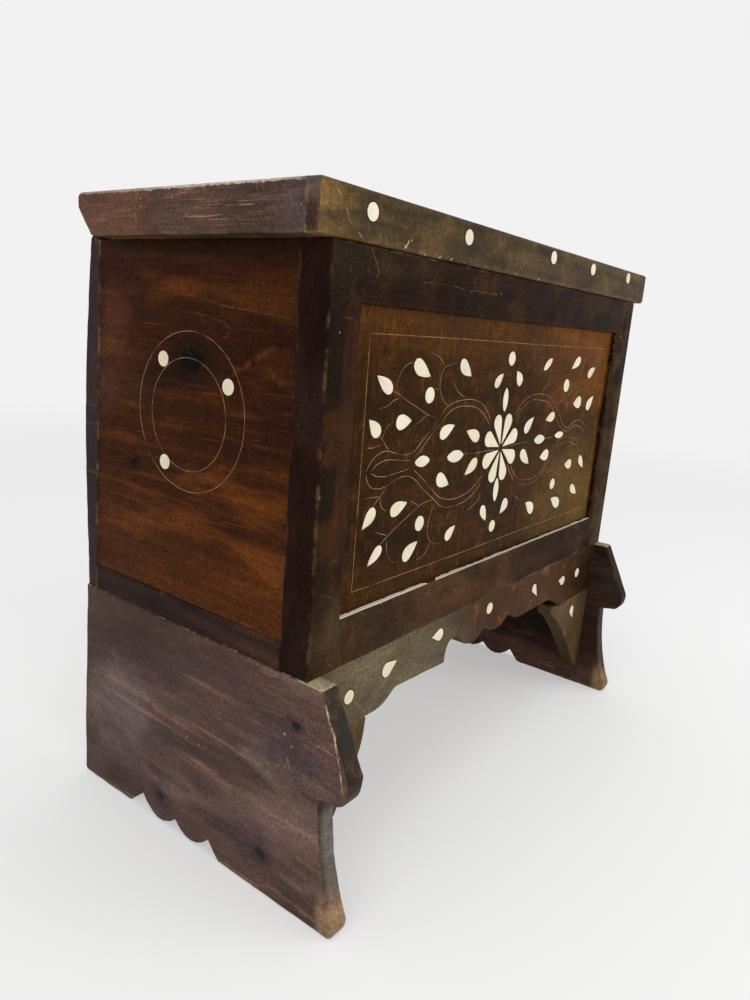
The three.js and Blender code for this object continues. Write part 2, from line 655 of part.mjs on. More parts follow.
function addHinge(x, name) {
  const end = HINGE_LENGTH / 2;
  const middle = MIDDLE_KNUCKLE / 2;
  const bore = rod(PIN_RADIUS + GAP, x - end - OVERCUT, x + end + OVERCUT);
  const notch = KNUCKLE_RADIUS + LEAF_NOTCH;
  const outerKnuckles = [[x - end, x - middle - GAP], [x + middle + GAP, x + end]];

  let chestLeaf = block([x - end, x + end], [hingeDepth, hingeDepth + HINGE_CHEST_LEAF_WIDTH],
    [CARCASS_TOP - HINGE_LEAF, CARCASS_TOP]);
  chestLeaf = chestLeaf.subtract(block([x - middle - GAP, x + middle + GAP],
    [hingeDepth - OVERCUT, hingeDepth + notch],
    [CARCASS_TOP - HINGE_LEAF - OVERCUT, CARCASS_TOP + OVERCUT]));
  for (const [xLeft, xRight] of outerKnuckles) {
    chestLeaf = chestLeaf
      .add(rod(KNUCKLE_RADIUS, xLeft, xRight))
      .add(block([xLeft, xRight], [hingeDepth, hingeDepth + KNUCKLE_RADIUS],
        [CARCASS_TOP - HINGE_LEAF, hingeHeight]));
  }
  addPiece(`${name}_chest_leaf`, chestLeaf.subtract(bore), IRON);

  let lidLeaf = block([x - end, x + end], [hingeDepth - HINGE_LID_LEAF_WIDTH, hingeDepth],
    [lidUnderside + GAP, lidLeafTop]);
  for (const [xLeft, xRight] of outerKnuckles) {
    lidLeaf = lidLeaf.subtract(block([xLeft - GAP, xRight + GAP],
      [hingeDepth - notch, hingeDepth + OVERCUT],
      [lidUnderside - OVERCUT, lidLeafTop + OVERCUT]));
  }
  lidLeaf = lidLeaf.add(rod(KNUCKLE_RADIUS, x - middle, x + middle));
  addPiece(`${name}_lid_leaf`, lidLeaf.subtract(bore), IRON);

  const headInner = end + GAP;
  const headOuter = headInner + PIN_HEAD_LENGTH;
  const pin = rod(PIN_RADIUS, x - headOuter, x + headOuter)
    .add(rod(PIN_HEAD_RADIUS, x - headOuter, x - headInner))
    .add(rod(PIN_HEAD_RADIUS, x + headInner, x + headOuter));
  addPiece(`${name}_pin`, pin, IRON);
}

for (const [side, name] of [[-1, "left"], [1, "right"]]) {
  addFrontStile(side, `front_stile_${name}`);
  addSideRail(side, `side_rail_${name}`);
  addHinge(side * HINGE_X, `hinge_${name}`);
}
addFootBoards();
addFrontRail("front_bottom_rail", [FOOT_HEIGHT, openingBottom]);
addFrontRail("front_top_rail", [openingTop, CARCASS_TOP]);
addFrontPanel();
addSidePanels();
addApron();
addBrackets();
addBack();
addBottom();
addLid();

group.position.set(0, -middleDepth, 0);

export default group;
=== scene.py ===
"""The looks of a small inlaid wooden chest: worn boards, bone inlay, scribed vines and a studio.

The scene is in metres in the part's own frame. Sizes named below are in millimetres and are turned
into metres by MM, except in the studio, which is given in metres. The front faces -Y, +X is to the
viewer's right and +Z is up.
"""

import json
import math

import bmesh
import bpy
from mathutils import Matrix, Vector, geometry, noise
from mathutils.bvhtree import BVHTree


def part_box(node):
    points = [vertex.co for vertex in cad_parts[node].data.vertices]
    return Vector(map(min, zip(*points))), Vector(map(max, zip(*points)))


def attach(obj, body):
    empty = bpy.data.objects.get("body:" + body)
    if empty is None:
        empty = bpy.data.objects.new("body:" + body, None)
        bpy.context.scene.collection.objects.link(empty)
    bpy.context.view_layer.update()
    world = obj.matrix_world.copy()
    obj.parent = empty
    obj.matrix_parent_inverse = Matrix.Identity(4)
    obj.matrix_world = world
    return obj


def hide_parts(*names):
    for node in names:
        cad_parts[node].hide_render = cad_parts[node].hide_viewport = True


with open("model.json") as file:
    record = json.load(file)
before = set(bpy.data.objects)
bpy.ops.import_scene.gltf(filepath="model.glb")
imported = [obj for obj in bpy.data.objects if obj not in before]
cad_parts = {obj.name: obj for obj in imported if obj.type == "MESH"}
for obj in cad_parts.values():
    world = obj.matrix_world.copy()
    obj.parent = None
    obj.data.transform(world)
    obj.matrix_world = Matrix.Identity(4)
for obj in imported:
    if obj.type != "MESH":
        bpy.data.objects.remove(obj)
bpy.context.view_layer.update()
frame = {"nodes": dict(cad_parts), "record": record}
MM = 0.001


def add_object(name, data):
    added = bpy.data.objects.new(name, data)
    bpy.context.scene.collection.objects.link(added)
    return added


def read_mesh(mesh):
    bm = bmesh.new()
    bm.from_mesh(mesh)
    return bm


def write_mesh(bm, mesh):
    bm.to_mesh(mesh)
    bm.free()
    return mesh


# Camera

PHOTO_HEIGHT = 1000
FOCAL_PIXELS = 743.4
SENSOR = 36
CAMERA_PLACE = (-692.97, -464.54, 474.61)
CAMERA_RIGHT = (0.60559, -0.79213, 0.07618)
CAMERA_DOWN = (-0.13534, -0.19685, -0.97105)
CAMERA_FORWARD = (0.78419, 0.57774, -0.22642)


def make_camera():
    data = bpy.data.cameras.new("camera")
    data.sensor_fit = "AUTO"
    data.sensor_width = SENSOR
    data.lens = SENSOR * FOCAL_PIXELS / PHOTO_HEIGHT
    data.clip_start = 0.01
    camera = add_object("camera", data)
    axes = Matrix((CAMERA_RIGHT, [-v for v in CAMERA_DOWN], [-v for v in CAMERA_FORWARD])).transposed()
    camera.matrix_world = Matrix.Translation(Vector(CAMERA_PLACE) * MM) @ axes.to_4x4()
    bpy.context.scene.camera = camera


# Node trees

def paint(red, green, blue):
    """A colour as a screen shows it, from 0 to 255, as the shader's linear value."""
    return tuple((v / 255 / 12.92) if v <= 10 else ((v / 255 + 0.055) / 1.055) ** 2.4
                 for v in (red, green, blue)) + (1,)


class Graph:
    """A material's nodes, one short call each. A value is a number, a tuple or another socket."""

    def __init__(self, name):
        self.material = bpy.data.materials.new(name)
        self.material.use_nodes = True
        self.tree = self.material.node_tree
        self.tree.nodes.clear()
        self.shader = self.node("BsdfPrincipled")
        self.output = self.node("OutputMaterial", {"Surface": self.shader.outputs["BSDF"]})

    def node(self, kind, inputs=(), **settings):
        """A new node with its settings, its inputs fed in order, or by name where they are a dict."""
        node = self.tree.nodes.new(f"ShaderNode{kind}")
        for key, value in settings.items():
            setattr(node, key, value)
        for key, value in inputs.items() if isinstance(inputs, dict) else enumerate(inputs):
            self.feed(node.inputs[key], value)
        return node

    def feed(self, socket, value):
        if isinstance(value, bpy.types.NodeSocket):
            self.tree.links.new(value, socket)
        else:
            socket.default_value = value

    def set(self, **values):
        for key, value in values.items():
            self.feed(self.shader.inputs[key.replace("_", " ")], value)

    def math(self, operation, *values, clamp=False):
        return self.node("Math", values, operation=operation, use_clamp=clamp).outputs[0]

    def times(self, value, *factors):
        for factor in factors:
            value = self.math("MULTIPLY", value, factor)
        return value

    def muladd(self, value, factor, addend):
        return self.math("MULTIPLY_ADD", value, factor, addend)

    def vector(self, operation, *values):
        outputs = self.node("VectorMath", values, operation=operation).outputs
        return outputs["Value" if operation in ("LENGTH", "DISTANCE", "DOT_PRODUCT") else "Vector"]

    def scaled(self, vector, factor):
        return self.node("VectorMath", {0: vector, "Scale": factor}, operation="SCALE").outputs[0]

    def join(self, x, y, z):
        return self.node("CombineXYZ", (x, y, z)).outputs[0]

    def split(self, vector):
        return self.node("SeparateXYZ", (vector,)).outputs

    def noise(self, vector, scale, detail, seed, rough=0.5, bend=0):
        inputs = {"Vector": vector, "W": seed, "Scale": scale, "Detail": detail, "Roughness": rough,
                  "Distortion": bend}
        return self.node("TexNoise", inputs, noise_dimensions="4D").outputs["Fac"]

    def step(self, value, low, high, to_low=0, to_high=1):
        """Runs smoothly from one value to another as the input passes from low to high."""
        inputs = {"Value": value, "From Min": low, "From Max": high, "To Min": to_low, "To Max": to_high}
        return self.node("MapRange", inputs, interpolation_type="SMOOTHSTEP").outputs["Result"]

    def mix(self, share, first, second):
        return self.node("Mix", {0: share, 6: first, 7: second}, data_type="RGBA").outputs[2]

    def ramp(self, value, stops):
        node = self.node("ValToRGB", (value,))
        line = node.color_ramp
        for _ in stops[2:]:
            line.elements.new(0.5)
        for element, (place, colour) in zip(line.elements, stops):
            element.position = place
            element.color = paint(*colour)
        return node.outputs["Color"]

    def place(self):
        """The shaded point in millimetres."""
        return self.scaled(self.node("TexCoord").outputs["Object"], 1 / MM)

    def cells(self, dimensions, **inputs):
        return self.node("TexVoronoi", inputs, voronoi_dimensions=dimensions).outputs

    def bump(self, height, strength, distance):
        node = self.node("Bump", {"Height": height, "Strength": strength, "Distance": distance})
        self.set(Normal=node.outputs["Normal"])


# Wood

EDGE_REACH = 4
SCRATCH_CELL = 30
SPECK_SCALE = 0.07
TONE_PLACES = (0.12, 0.38, 0.62, 0.9)
WORN = (150, 118, 84)
BALD = (226, 214, 196)
KNOT_CORE = (10, 7, 8)
BONE_TONES = [(0.25, (204, 180, 138)), (0.45, (214, 201, 168)), (0.62, (222, 213, 187)),
              (0.8, (227, 221, 202))]


class Board:
    """A board's material as it is drawn: its graph, its place in millimetres and its looks so far.
    axes names the way along the grain, across it and into the board."""

    def __init__(self, name, axes, seed):
        self.graph = Graph(name)
        self.seed = seed
        self.axes = axes
        self.place = self.graph.place()
        self.normal = self.graph.node("NewGeometry").outputs["Normal"]
        self.x, self.y, self.z = self.graph.split(self.place)
        self.facing = self.graph.split(self.normal)
        self.along, self.across, self.depth = self.ordered(self.place)
        self.colour = self.rough = self.height = self.bald = None

    def ordered(self, vector):
        """A vector's parts along the grain, across it and into the board."""
        parts = self.graph.split(vector)
        return [parts["xyz".index(letter)] for letter in self.axes]

    def mask(self, *limits):
        """Where each value has passed from its low to its high. A limit may also be a mask itself."""
        return self.graph.times(*(self.graph.step(*one) if isinstance(one, tuple) else one for one in limits))

    def tint(self, colour, amount, *limits):
        """Tints the board, as far as the mask of these limits reaches."""
        share = self.graph.math("MULTIPLY", self.mask(*limits), amount, clamp=True)
        self.colour = self.graph.mix(share, self.colour, paint(*colour))

    def raised(self, mask, height):
        self.height = self.graph.muladd(mask, height, self.height)

    def within(self, value, low, high, soft):
        """A mask between low and high, fading over soft on both sides."""
        return self.mask((value, low - soft, low + soft), (value, high - soft, high + soft, 1, 0))

    def noise(self, scale, detail, seed, rough=0.5):
        return self.graph.noise(self.place, scale, detail, seed, rough)

    def grain(self, scales, detail, seed, rough=0.5, bend=0):
        """Noise with a scale of its own for each of the part's axes."""
        place = self.graph.vector("MULTIPLY", self.place, scales)
        return self.graph.noise(place, 1, detail, seed, rough, bend)

    def streaks(self, along, across, detail, seed, rough=0.5, bend=0):
        """Noise drawn out along the grain."""
        g = self.graph
        place = g.join(g.times(self.along, along), g.times(self.across, across), g.times(self.depth, across))
        return g.noise(place, 1, detail, self.seed + seed, rough, bend)


def knot_masks(board, knots):
    """The stain around the knots and their dark cores."""
    g = board.graph
    halo = core = 0
    for x, y, z, radius in knots:
        along, across, depth = board.ordered(g.vector("SUBTRACT", board.place, (x, y, z)))
        distance = g.vector("LENGTH", g.join(g.times(along, 0.7), across, depth))
        ragged = g.muladd(board.noise(0.16, 2, board.seed), radius * 0.9, distance)
        halo = g.math("MAXIMUM", halo, g.step(ragged, radius * 1.5, radius * 3.4, 1, 0))
        core = g.math("MAXIMUM", core, g.step(ragged, radius * 1.3, radius * 1.5, 1, 0))
    return halo, core


def draw_scratches(board, amount):
    """Short fine scratches, one at any angle in some of the board's cells, and small pale dents."""
    g, seed = board.graph, board.seed
    flat = g.join(g.math("ADD", board.along, 61 * seed),
                  g.muladd(board.noise(0.05, 2, seed + 6), 8, board.across), 0)
    cells = g.cells("2D", Vector=flat, Scale=1 / SCRATCH_CELL)
    chance = g.split(cells["Color"])
    away = g.split(g.vector("SUBTRACT", flat, cells["Position"]))
    turn = g.times(chance[0], math.tau)
    cosine, sine = g.math("COSINE", turn), g.math("SINE", turn)
    beside = g.math("ABSOLUTE", g.muladd(away[0], cosine, g.times(away[1], sine)))
    onward = g.math("ABSOLUTE", g.muladd(away[0], sine, g.times(away[1], cosine, -1)))
    line = board.mask((beside, 0.1, 0.4, 1, 0), (onward, 3, 8, 1, 0), (chance[1], 0.78, 0.8))
    board.tint(WORN, 0.6 * amount, line)
    board.raised(line, -0.5)
    cells = g.cells("4D", Vector=board.place, Scale=SPECK_SCALE, W=seed + 8)
    ragged = g.muladd(board.noise(0.7, 3, seed + 8, 0.7), 0.16, cells["Distance"])
    speck = board.mask((ragged, 0.09, 0.12, 1, 0), (g.split(cells["Color"])[0], 0.88, 0.89))
    board.tint(WORN, 0.6 * amount, speck)
    board.raised(speck, -1)


def rub_arrises(board, wear, edge):
    """Pale wood where an arris is rubbed, found by how far the shading turns near it."""
    g = board.graph
    bevel = g.node("Bevel", {"Radius": EDGE_REACH * MM}, samples=4)
    turned = g.vector("DOT_PRODUCT", bevel.outputs["Normal"], board.normal)
    patchy = board.noise(0.05, 4, board.seed + 9, 0.65)
    rubbed = board.mask((turned, 0.985, 0.8), (patchy, 0.62 - 0.3 * wear, 0.8 - 0.3 * wear))
    board.tint(WORN, 0.85 * edge, rubbed)
    board.rough = g.muladd(rubbed, 0.2, board.rough)


def wood(name, axes, tones, seed, pith, spacing=4.5, ring=0.3, crisp=2.5, grain=0.5, cloud=1.05, wear=0.6,
         knots=(), gloss=0.42, shine=0.1, marks=None, scratch=0.5, edge=1, cast=(1, 1, 1)):
    """A stained and waxed board, its four tones from the darkest to the lightest. A negative ring draws
    the year rings as light lines, crisp makes them narrow, and cast tints the whole board."""
    board = Board(name, axes, seed)
    g = board.graph
    shift = g.muladd(board.streaks(0.0045, 0.02, 3, 0), 34, -17)
    if knots:
        halo, core = knot_masks(board, knots)
        shift = g.muladd(halo, 7, shift)
    beside = g.math("ADD", g.math("SUBTRACT", board.across, pith[0]), shift)
    radius = g.vector("LENGTH", g.join(beside, g.math("SUBTRACT", board.depth, pith[1]), 0))
    rings = g.math("SINE", g.math("DIVIDE", radius, spacing / math.tau))
    late = g.math("POWER", g.muladd(rings, 0.5, 0.5), crisp)
    streak = board.streaks(0.009, 0.34, 5, 1, 0.62)
    fibre = board.streaks(0.05, 2.4, 3, 2)
    tone = g.muladd(streak, grain, 0.36 - grain / 2 - cloud / 2 + ring * 0.18)
    tone = g.muladd(board.streaks(0.006, 0.016, 3, 3, 0.55, 0.6), cloud, tone)
    tone = g.muladd(late, -ring * 0.5, tone)
    tone = g.muladd(fibre, 0.34, tone)
    if knots:
        tone = g.muladd(halo, -0.28, tone)
    board.colour = g.ramp(tone, list(zip(TONE_PLACES, tones)))
    board.rough = g.muladd(board.noise(0.035, 4, seed + 4), 0.34, gloss - 0.17)
    board.rough = g.muladd(fibre, 0.12, board.rough)
    board.height = g.muladd(board.noise(0.02, 2, seed + 5), 2, g.times(fibre, 0.35))
    board.raised(late, -0.12)
    board.raised(streak, 0.25)

    if marks:
        marks(board)
    if knots:
        board.tint(KNOT_CORE, 0.95, core)
    mottle = g.muladd(board.noise(0.4, 4, seed + 10, 0.7), 2.6, -0.3)
    broad = g.muladd(board.streaks(0.012, 0.035, 4, 13, 0.65, 0.8), 1.8, 0.1)
    board.colour = g.vector("MULTIPLY", g.scaled(board.colour, g.times(mottle, broad)), cast)
    if board.bald is not None:
        board.tint(BALD, 1, board.bald)
    board.tint(WORN, 0.3, (board.noise(1, 2, seed + 11), 0.62, 0.72),
               (board.noise(0.03, 3, seed + 12), 0.46, 0.6))
    draw_scratches(board, scratch)
    if wear:
        rub_arrises(board, wear, edge)
    g.set(Base_Color=board.colour, Roughness=g.math("ADD", board.rough, 0, clamp=True),
          Specular_IOR_Level=shine)
    g.bump(board.height, 0.55, 0.0006)
    return g.material


def bone_material():
    """Bone from cream to greenish or pinkish white, with fine pores and a few brown cracks."""
    g = Graph("bone")
    place = g.place()
    fine = g.noise(place, 0.9, 3, 5.7)
    tone = g.muladd(g.noise(place, 0.03, 2, 3.1), 0.8, g.times(fine, 0.25))
    colour = g.ramp(tone, BONE_TONES)
    pores = g.step(g.noise(g.vector("MULTIPLY", place, (3.2, 3.2, 0.5)), 1, 2, 1.3), 0.64, 0.72)
    piece = g.noise(place, 0.024, 1, 9.4)
    shade = g.step(g.noise(place, 0.35, 3, 7.7, 0.6), 0.52, 0.72)
    crack = g.math("ABSOLUTE", g.math("SUBTRACT", g.noise(place, 0.5, 2, 4.3, 0.5, 0.8), 0.52))
    crack = g.times(g.step(crack, 0, 0.006, 1, 0), g.step(g.noise(place, 0.08, 2, 8.8), 0.52, 0.6))
    for mask, amount, tint in ((g.step(piece, 0.52, 0.64), 0.7, (206, 204, 180)),
                               (g.step(piece, 0.44, 0.34), 0.7, (222, 203, 188)),
                               (shade, 0.35, (176, 160, 124)), (pores, 0.4, (146, 122, 88)),
                               (crack, 0.6, (120, 92, 62))):
        colour = g.mix(g.times(mask, amount), colour, paint(*tint))
    g.set(Base_Color=colour, Roughness=g.muladd(fine, 0.2, 0.32), Specular_IOR_Level=0.35)
    g.bump(g.muladd(pores, -0.6, fine), 0.3, 0.0003)
    return g.material


def plain_material(name, colour, rough, second, shine=0.4, metal=0):
    """A small part's finish: two colours in fine patches, with a grain to match."""
    g = Graph(name)
    place = g.place()
    patch = g.noise(place, 0.12, 4, 2, 0.6)
    fine = g.noise(place, 1.08, 3, 4)
    mixed = g.mix(g.step(patch, 0.35, 0.65), paint(*colour), paint(*second))
    g.set(Base_Color=mixed, Roughness=g.muladd(fine, 0.25, rough - 0.12), Metallic=metal,
          Specular_IOR_Level=shine)
    g.bump(g.muladd(patch, 1.2, fine), 0.4, 0.0003)
    return g.material


# Boards with worn arrises, made from the part's own solids

SEAM = 0.6
SEAM_ROUND = 0.3
BITE_STEP = 7
WELD = 0.002
FLAT_ANGLE = math.radians(0.4)
SHARP_ANGLE = math.radians(28)
FRONT_INLAID = ("lid_front_edging", "apron_front", "foot_bracket_right")


def is_bone(name):
    return "bone" in name or "petal" in name


def new_piece(name, mesh, body, material, slot):
    piece = add_object(name, mesh)
    mesh.materials.clear()
    mesh.materials.append(material)
    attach(piece, body)
    return piece


def world_trees():
    """One search tree for each solid, to tell a seam between boards from an open arris."""
    trees = {}
    for name, node in frame["nodes"].items():
        bm = read_mesh(node.data)
        trees[name] = (BVHTree.FromBMesh(bm), *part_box(name))
        bm.free()
    return trees


TREES = world_trees()
BODY_OF = {node: body for body, members in frame["record"]["behaviour"]["bodies"].items() for node in members}


def at_seam(node, point):
    for other, (tree, low, high) in TREES.items():
        if other == node or is_bone(other) or "hinge" in other:
            continue
        if all(low[i] - SEAM * MM <= point[i] <= high[i] + SEAM * MM for i in range(3)):
            if tree.find_nearest(point, SEAM * MM)[0] is not None:
                return True
    return False


def pocket_boxes(node):
    """The boxes around the bones that are let into a board."""
    low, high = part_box(node)
    margin = Vector((MM, MM, MM))
    found = []
    for other in filter(is_bone, frame["nodes"]):
        a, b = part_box(other)
        if all(a[i] <= high[i] + MM and b[i] >= low[i] - MM for i in range(3)):
            found.append((a - margin, b + margin))
    return found


def worn_copy(node, rounding, roughen=0.35, seed=0, bites=()):
    """The node's own shape with its open arrises rounded and rubbed uneven.
    A bite is a place on an arris, its reach and how deep the wood is gone there."""
    bm = read_mesh(frame["nodes"][node].data)
    bmesh.ops.remove_doubles(bm, verts=bm.verts, dist=WELD * MM)
    pockets = pocket_boxes(node)
    middles = sorted((low.x + high.x) / 2 for low, high in pockets) if node in FRONT_INLAID else []
    for middle in middles:
        bmesh.ops.bisect_plane(bm, geom=bm.verts[:] + bm.edges[:] + bm.faces[:], dist=1e-7,
                               plane_co=(middle, 0, 0), plane_no=(1, 0, 0))
    for f in bm.faces:
        at = f.calc_center_median().x
        f.material_index = sum(at > middle for middle in middles) if f.normal.y < -0.999 else 0
    bmesh.ops.dissolve_limit(bm, angle_limit=FLAT_ANGLE, verts=bm.verts, edges=bm.edges, delimit={"MATERIAL"})

    def sharp_edges():
        """Each open arris with its middle."""
        found = []
        for e in bm.edges:
            if e.is_manifold and e.is_convex and e.calc_face_angle() >= SHARP_ANGLE:
                middle = (e.verts[0].co + e.verts[1].co) / 2
                if not any(all(a[i] <= middle[i] <= b[i] for i in range(3)) for a, b in pockets):
                    found.append((e, middle))
        return found

    if bites or roughen:
        for e, _ in sharp_edges():
            cuts = int(e.calc_length() / (BITE_STEP * MM))
            if cuts > 0:
                bmesh.ops.subdivide_edges(bm, edges=[e], cuts=cuts)
    layers = bm.edges.layers.float
    weight = layers.get("bevel_weight_edge") or layers.new("bevel_weight_edge")
    for e, middle in sharp_edges():
        e[weight] = min(1, SEAM_ROUND / rounding) if at_seam(node, middle) else 1
    for f in bm.faces:
        f.material_index = 0
    mesh = write_mesh(bm, bpy.data.meshes.new(f"{node}_board"))
    mesh.materials.clear()
    for _ in range(2):
        mesh.materials.append(None)
    holder = add_object("holder", mesh)
    rounder = holder.modifiers.new("round", "BEVEL")
    for key, value in (("limit_method", "WEIGHT"), ("width", rounding * MM), ("segments", 3), ("material", 1),
                       ("use_clamp_overlap", False), ("loop_slide", False), ("harden_normals", False)):
        setattr(rounder, key, value)
    depsgraph = bpy.context.evaluated_depsgraph_get()
    shaped = bpy.data.meshes.new_from_object(holder.evaluated_get(depsgraph))
    bpy.data.objects.remove(holder)
    shaped.name = f"{node}_board"
    rub(shaped, roughen, seed, bites)
    for polygon in shaped.polygons:
        polygon.use_smooth = True
        polygon.material_index = 0
    return shaped


def rub(mesh, roughen, seed, bites):
    """Pushes the rounded arrises in by an uneven amount, and more at the bites."""
    bm = read_mesh(mesh)
    bm.normal_update()
    moves = {}
    for v in bm.verts:
        strips = [f for f in v.link_faces if f.material_index]
        flats = [f for f in v.link_faces if not f.material_index]
        inward = -v.normal
        for f in flats:
            inward = inward - f.normal * inward.dot(f.normal)
        if not strips or inward.length < 1e-6:
            continue
        place = v.co / MM
        wave = noise.noise(place * 0.05 + Vector((seed, 0, 0))) + 0.5 * noise.noise(place * 0.21)
        depth = roughen * max(0, wave + 0.15)
        for x, y, z, reach, gone in bites:
            share = 1 - (place - Vector((x, y, z))).length / reach
            if share > 0:
                uneven = 0.75 + 0.5 * noise.noise(place * 0.3 + Vector((seed, 3, 0)))
                depth = max(depth, gone * share ** 0.6 * uneven)
        moves[v] = inward * depth * MM
    for v, move in moves.items():
        v.co += move
    write_mesh(bm, mesh)


def add_walls(bm, rows, closed=False):
    """Faces between rows of points, and from the last row to the first where they are closed."""
    for low, high in zip(rows, rows[1:] + rows[:1] if closed else rows[1:]):
        for i in range(len(low)):
            j = (i + 1) % len(low)
            bm.faces.new((low[i], low[j], high[j], high[i]))


def add_caps(bm, rows):
    bm.faces.new(rows[0][::-1])
    bm.faces.new(rows[-1])


def add_ridge(mesh, node, ridge):
    """Stands a ridge on a board's whole length: an outline in depth and height."""
    low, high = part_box(node)
    bm = read_mesh(mesh)
    count = len(bm.faces)
    ends = [[bm.verts.new((x, y * MM, z * MM)) for y, z in ridge] for x in (low.x, high.x)]
    add_caps(bm, ends)
    add_walls(bm, ends)
    bmesh.ops.recalc_face_normals(bm, faces=bm.faces[count:])
    write_mesh(bm, mesh)


def weigh_normals(piece):
    """Large faces keep their own shading and the rounded arrises blend between them."""
    modifier = piece.modifiers.new("weighted", "WEIGHTED_NORMAL")
    modifier.keep_sharp = False
    modifier.weight = 80


def dress(node, material, slot, rounding=1.2, roughen=0.35, seed=0, bites=(), ridge=None):
    mesh = worn_copy(node, rounding, roughen, seed, bites)
    if ridge:
        add_ridge(mesh, node, ridge)
    piece = new_piece(f"{node}_board", mesh, BODY_OF[node], material, slot)
    weigh_normals(piece)
    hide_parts(node)


# Boards' own marks

# Where each face stands, along y for the fronts and along x for the rest
FRAME_FRONT = -124.25
PANEL_FRONT = -115.25
LID_FRONT = -128.25
LID_OUT = -319.5
FOOT_OUT = -302
SIDE_OUT = -299
CARCASS_OUT = -300


def on_side(x, places):
    """Places on a face that looks sideways, from their depth, height and whatever follows."""
    return [(x, *place) for place in places]


def on_front(y, places):
    """Places on a face that looks forwards, from their side, height and whatever follows."""
    return [(x, y, *rest) for x, *rest in places]


def spots(board, places, colour, amount):
    """Small ragged spots, each a place in millimetres and a radius."""
    g = board.graph
    found = 0
    uneven = board.noise(0.3, 3, 5.5, 0.6)
    for *place, radius in places:
        ragged = g.muladd(uneven, radius * 1.3, g.vector("DISTANCE", board.place, place))
        found = g.math("MAXIMUM", found, g.step(ragged, radius * 0.95, radius * 1.35, 1, 0))
    board.tint(colour, amount, found)
    board.raised(found, -1.2)


def patches(board, x, rows):
    """Wide soft patches on a side: depth, height, reach, colour and amount."""
    g = board.graph
    for y, z, reach, colour, amount in rows:
        distance = g.vector("DISTANCE", board.place, (x, y, z))
        ragged = g.muladd(board.noise(0.03, 4, x * 0.01 + 2, 0.6), reach * 1.1, distance)
        board.tint(colour, amount, (ragged, reach * 0.8, reach * 1.5, 1, 0))


def stroke(board, points, width, colour, amount, soft=0.6):
    """A streak or a scratch along a broken line of places, ragged and half as wide as width each way."""
    g = board.graph
    nearest = 1000
    for start, end in zip(points, points[1:]):
        reach = Vector(end) - Vector(start)
        away = g.vector("SUBTRACT", board.place, start)
        share = g.math("DIVIDE", g.vector("DOT_PRODUCT", away, reach), reach.length_squared, clamp=True)
        nearest = g.math("MINIMUM", nearest, g.vector("DISTANCE", away, g.scaled(reach, share)))
    ragged = g.muladd(board.noise(0.3, 3, 2.5, 0.6), width * 1.3, nearest)
    board.tint(colour, amount, (ragged, width * 0.85, width * (0.85 + soft), 1, 0),
               (board.noise(0.11, 3, 6.6, 0.7), 0.36, 0.62))


def strokes(board, on_face, at, amount, rows):
    """Strokes on one face: the places of each, width, colour and, where it differs, how soft the edge is."""
    for places, width, colour, *soft in rows:
        stroke(board, on_face(at, places), width, colour, amount, *soft)


# Spots on the frame's front: a place and a radius
FRONT_SPOTS = [
    (-287.3, -124.3, 469, 1.6), (-263, -120, 277.6, 1.6), (-298, -124, 352, 1.2), (-299, -123, 430, 1.3),
    (-266, -120, 330, 1), (273, -124.3, 486, 3), (-61, -124.3, 513, 2.2), (266, -121, 232, 2),
    (-206, -120.5, 246, 1), (-188, -120.5, 245.5, 0.8), (-232, -120.5, 245, 0.9),
]
# Scratches on the frame's front: side and height of each bend, width and colour
FRONT_SCRATCHES = [
    ([(-257.8, 528.7), (-251.1, 518.5), (-247.6, 512.6), (-252.2, 505.7)], 0.6, (128, 104, 76)),
    ([(-280.6, 513.8), (-275.9, 505.1), (-268.2, 498.8)], 0.7, (100, 86, 62)),
    ([(-189, 511.5), (-140.6, 512.2), (-125.3, 510.7), (-105.8, 511.4), (-68, 511.4)], 0.5, (150, 128, 100)),
    ([(-110.2, 522.5), (-110.1, 512.9), (-117.1, 508.5), (-118.6, 496.9)], 0.5, (132, 108, 80)),
    ([(-116.1, 252), (-123.2, 248.1), (-134.4, 247)], 0.7, (160, 142, 118)),
    ([(-298.6, 282.1), (-298.3, 276.7)], 0.6, (130, 112, 92)),
]


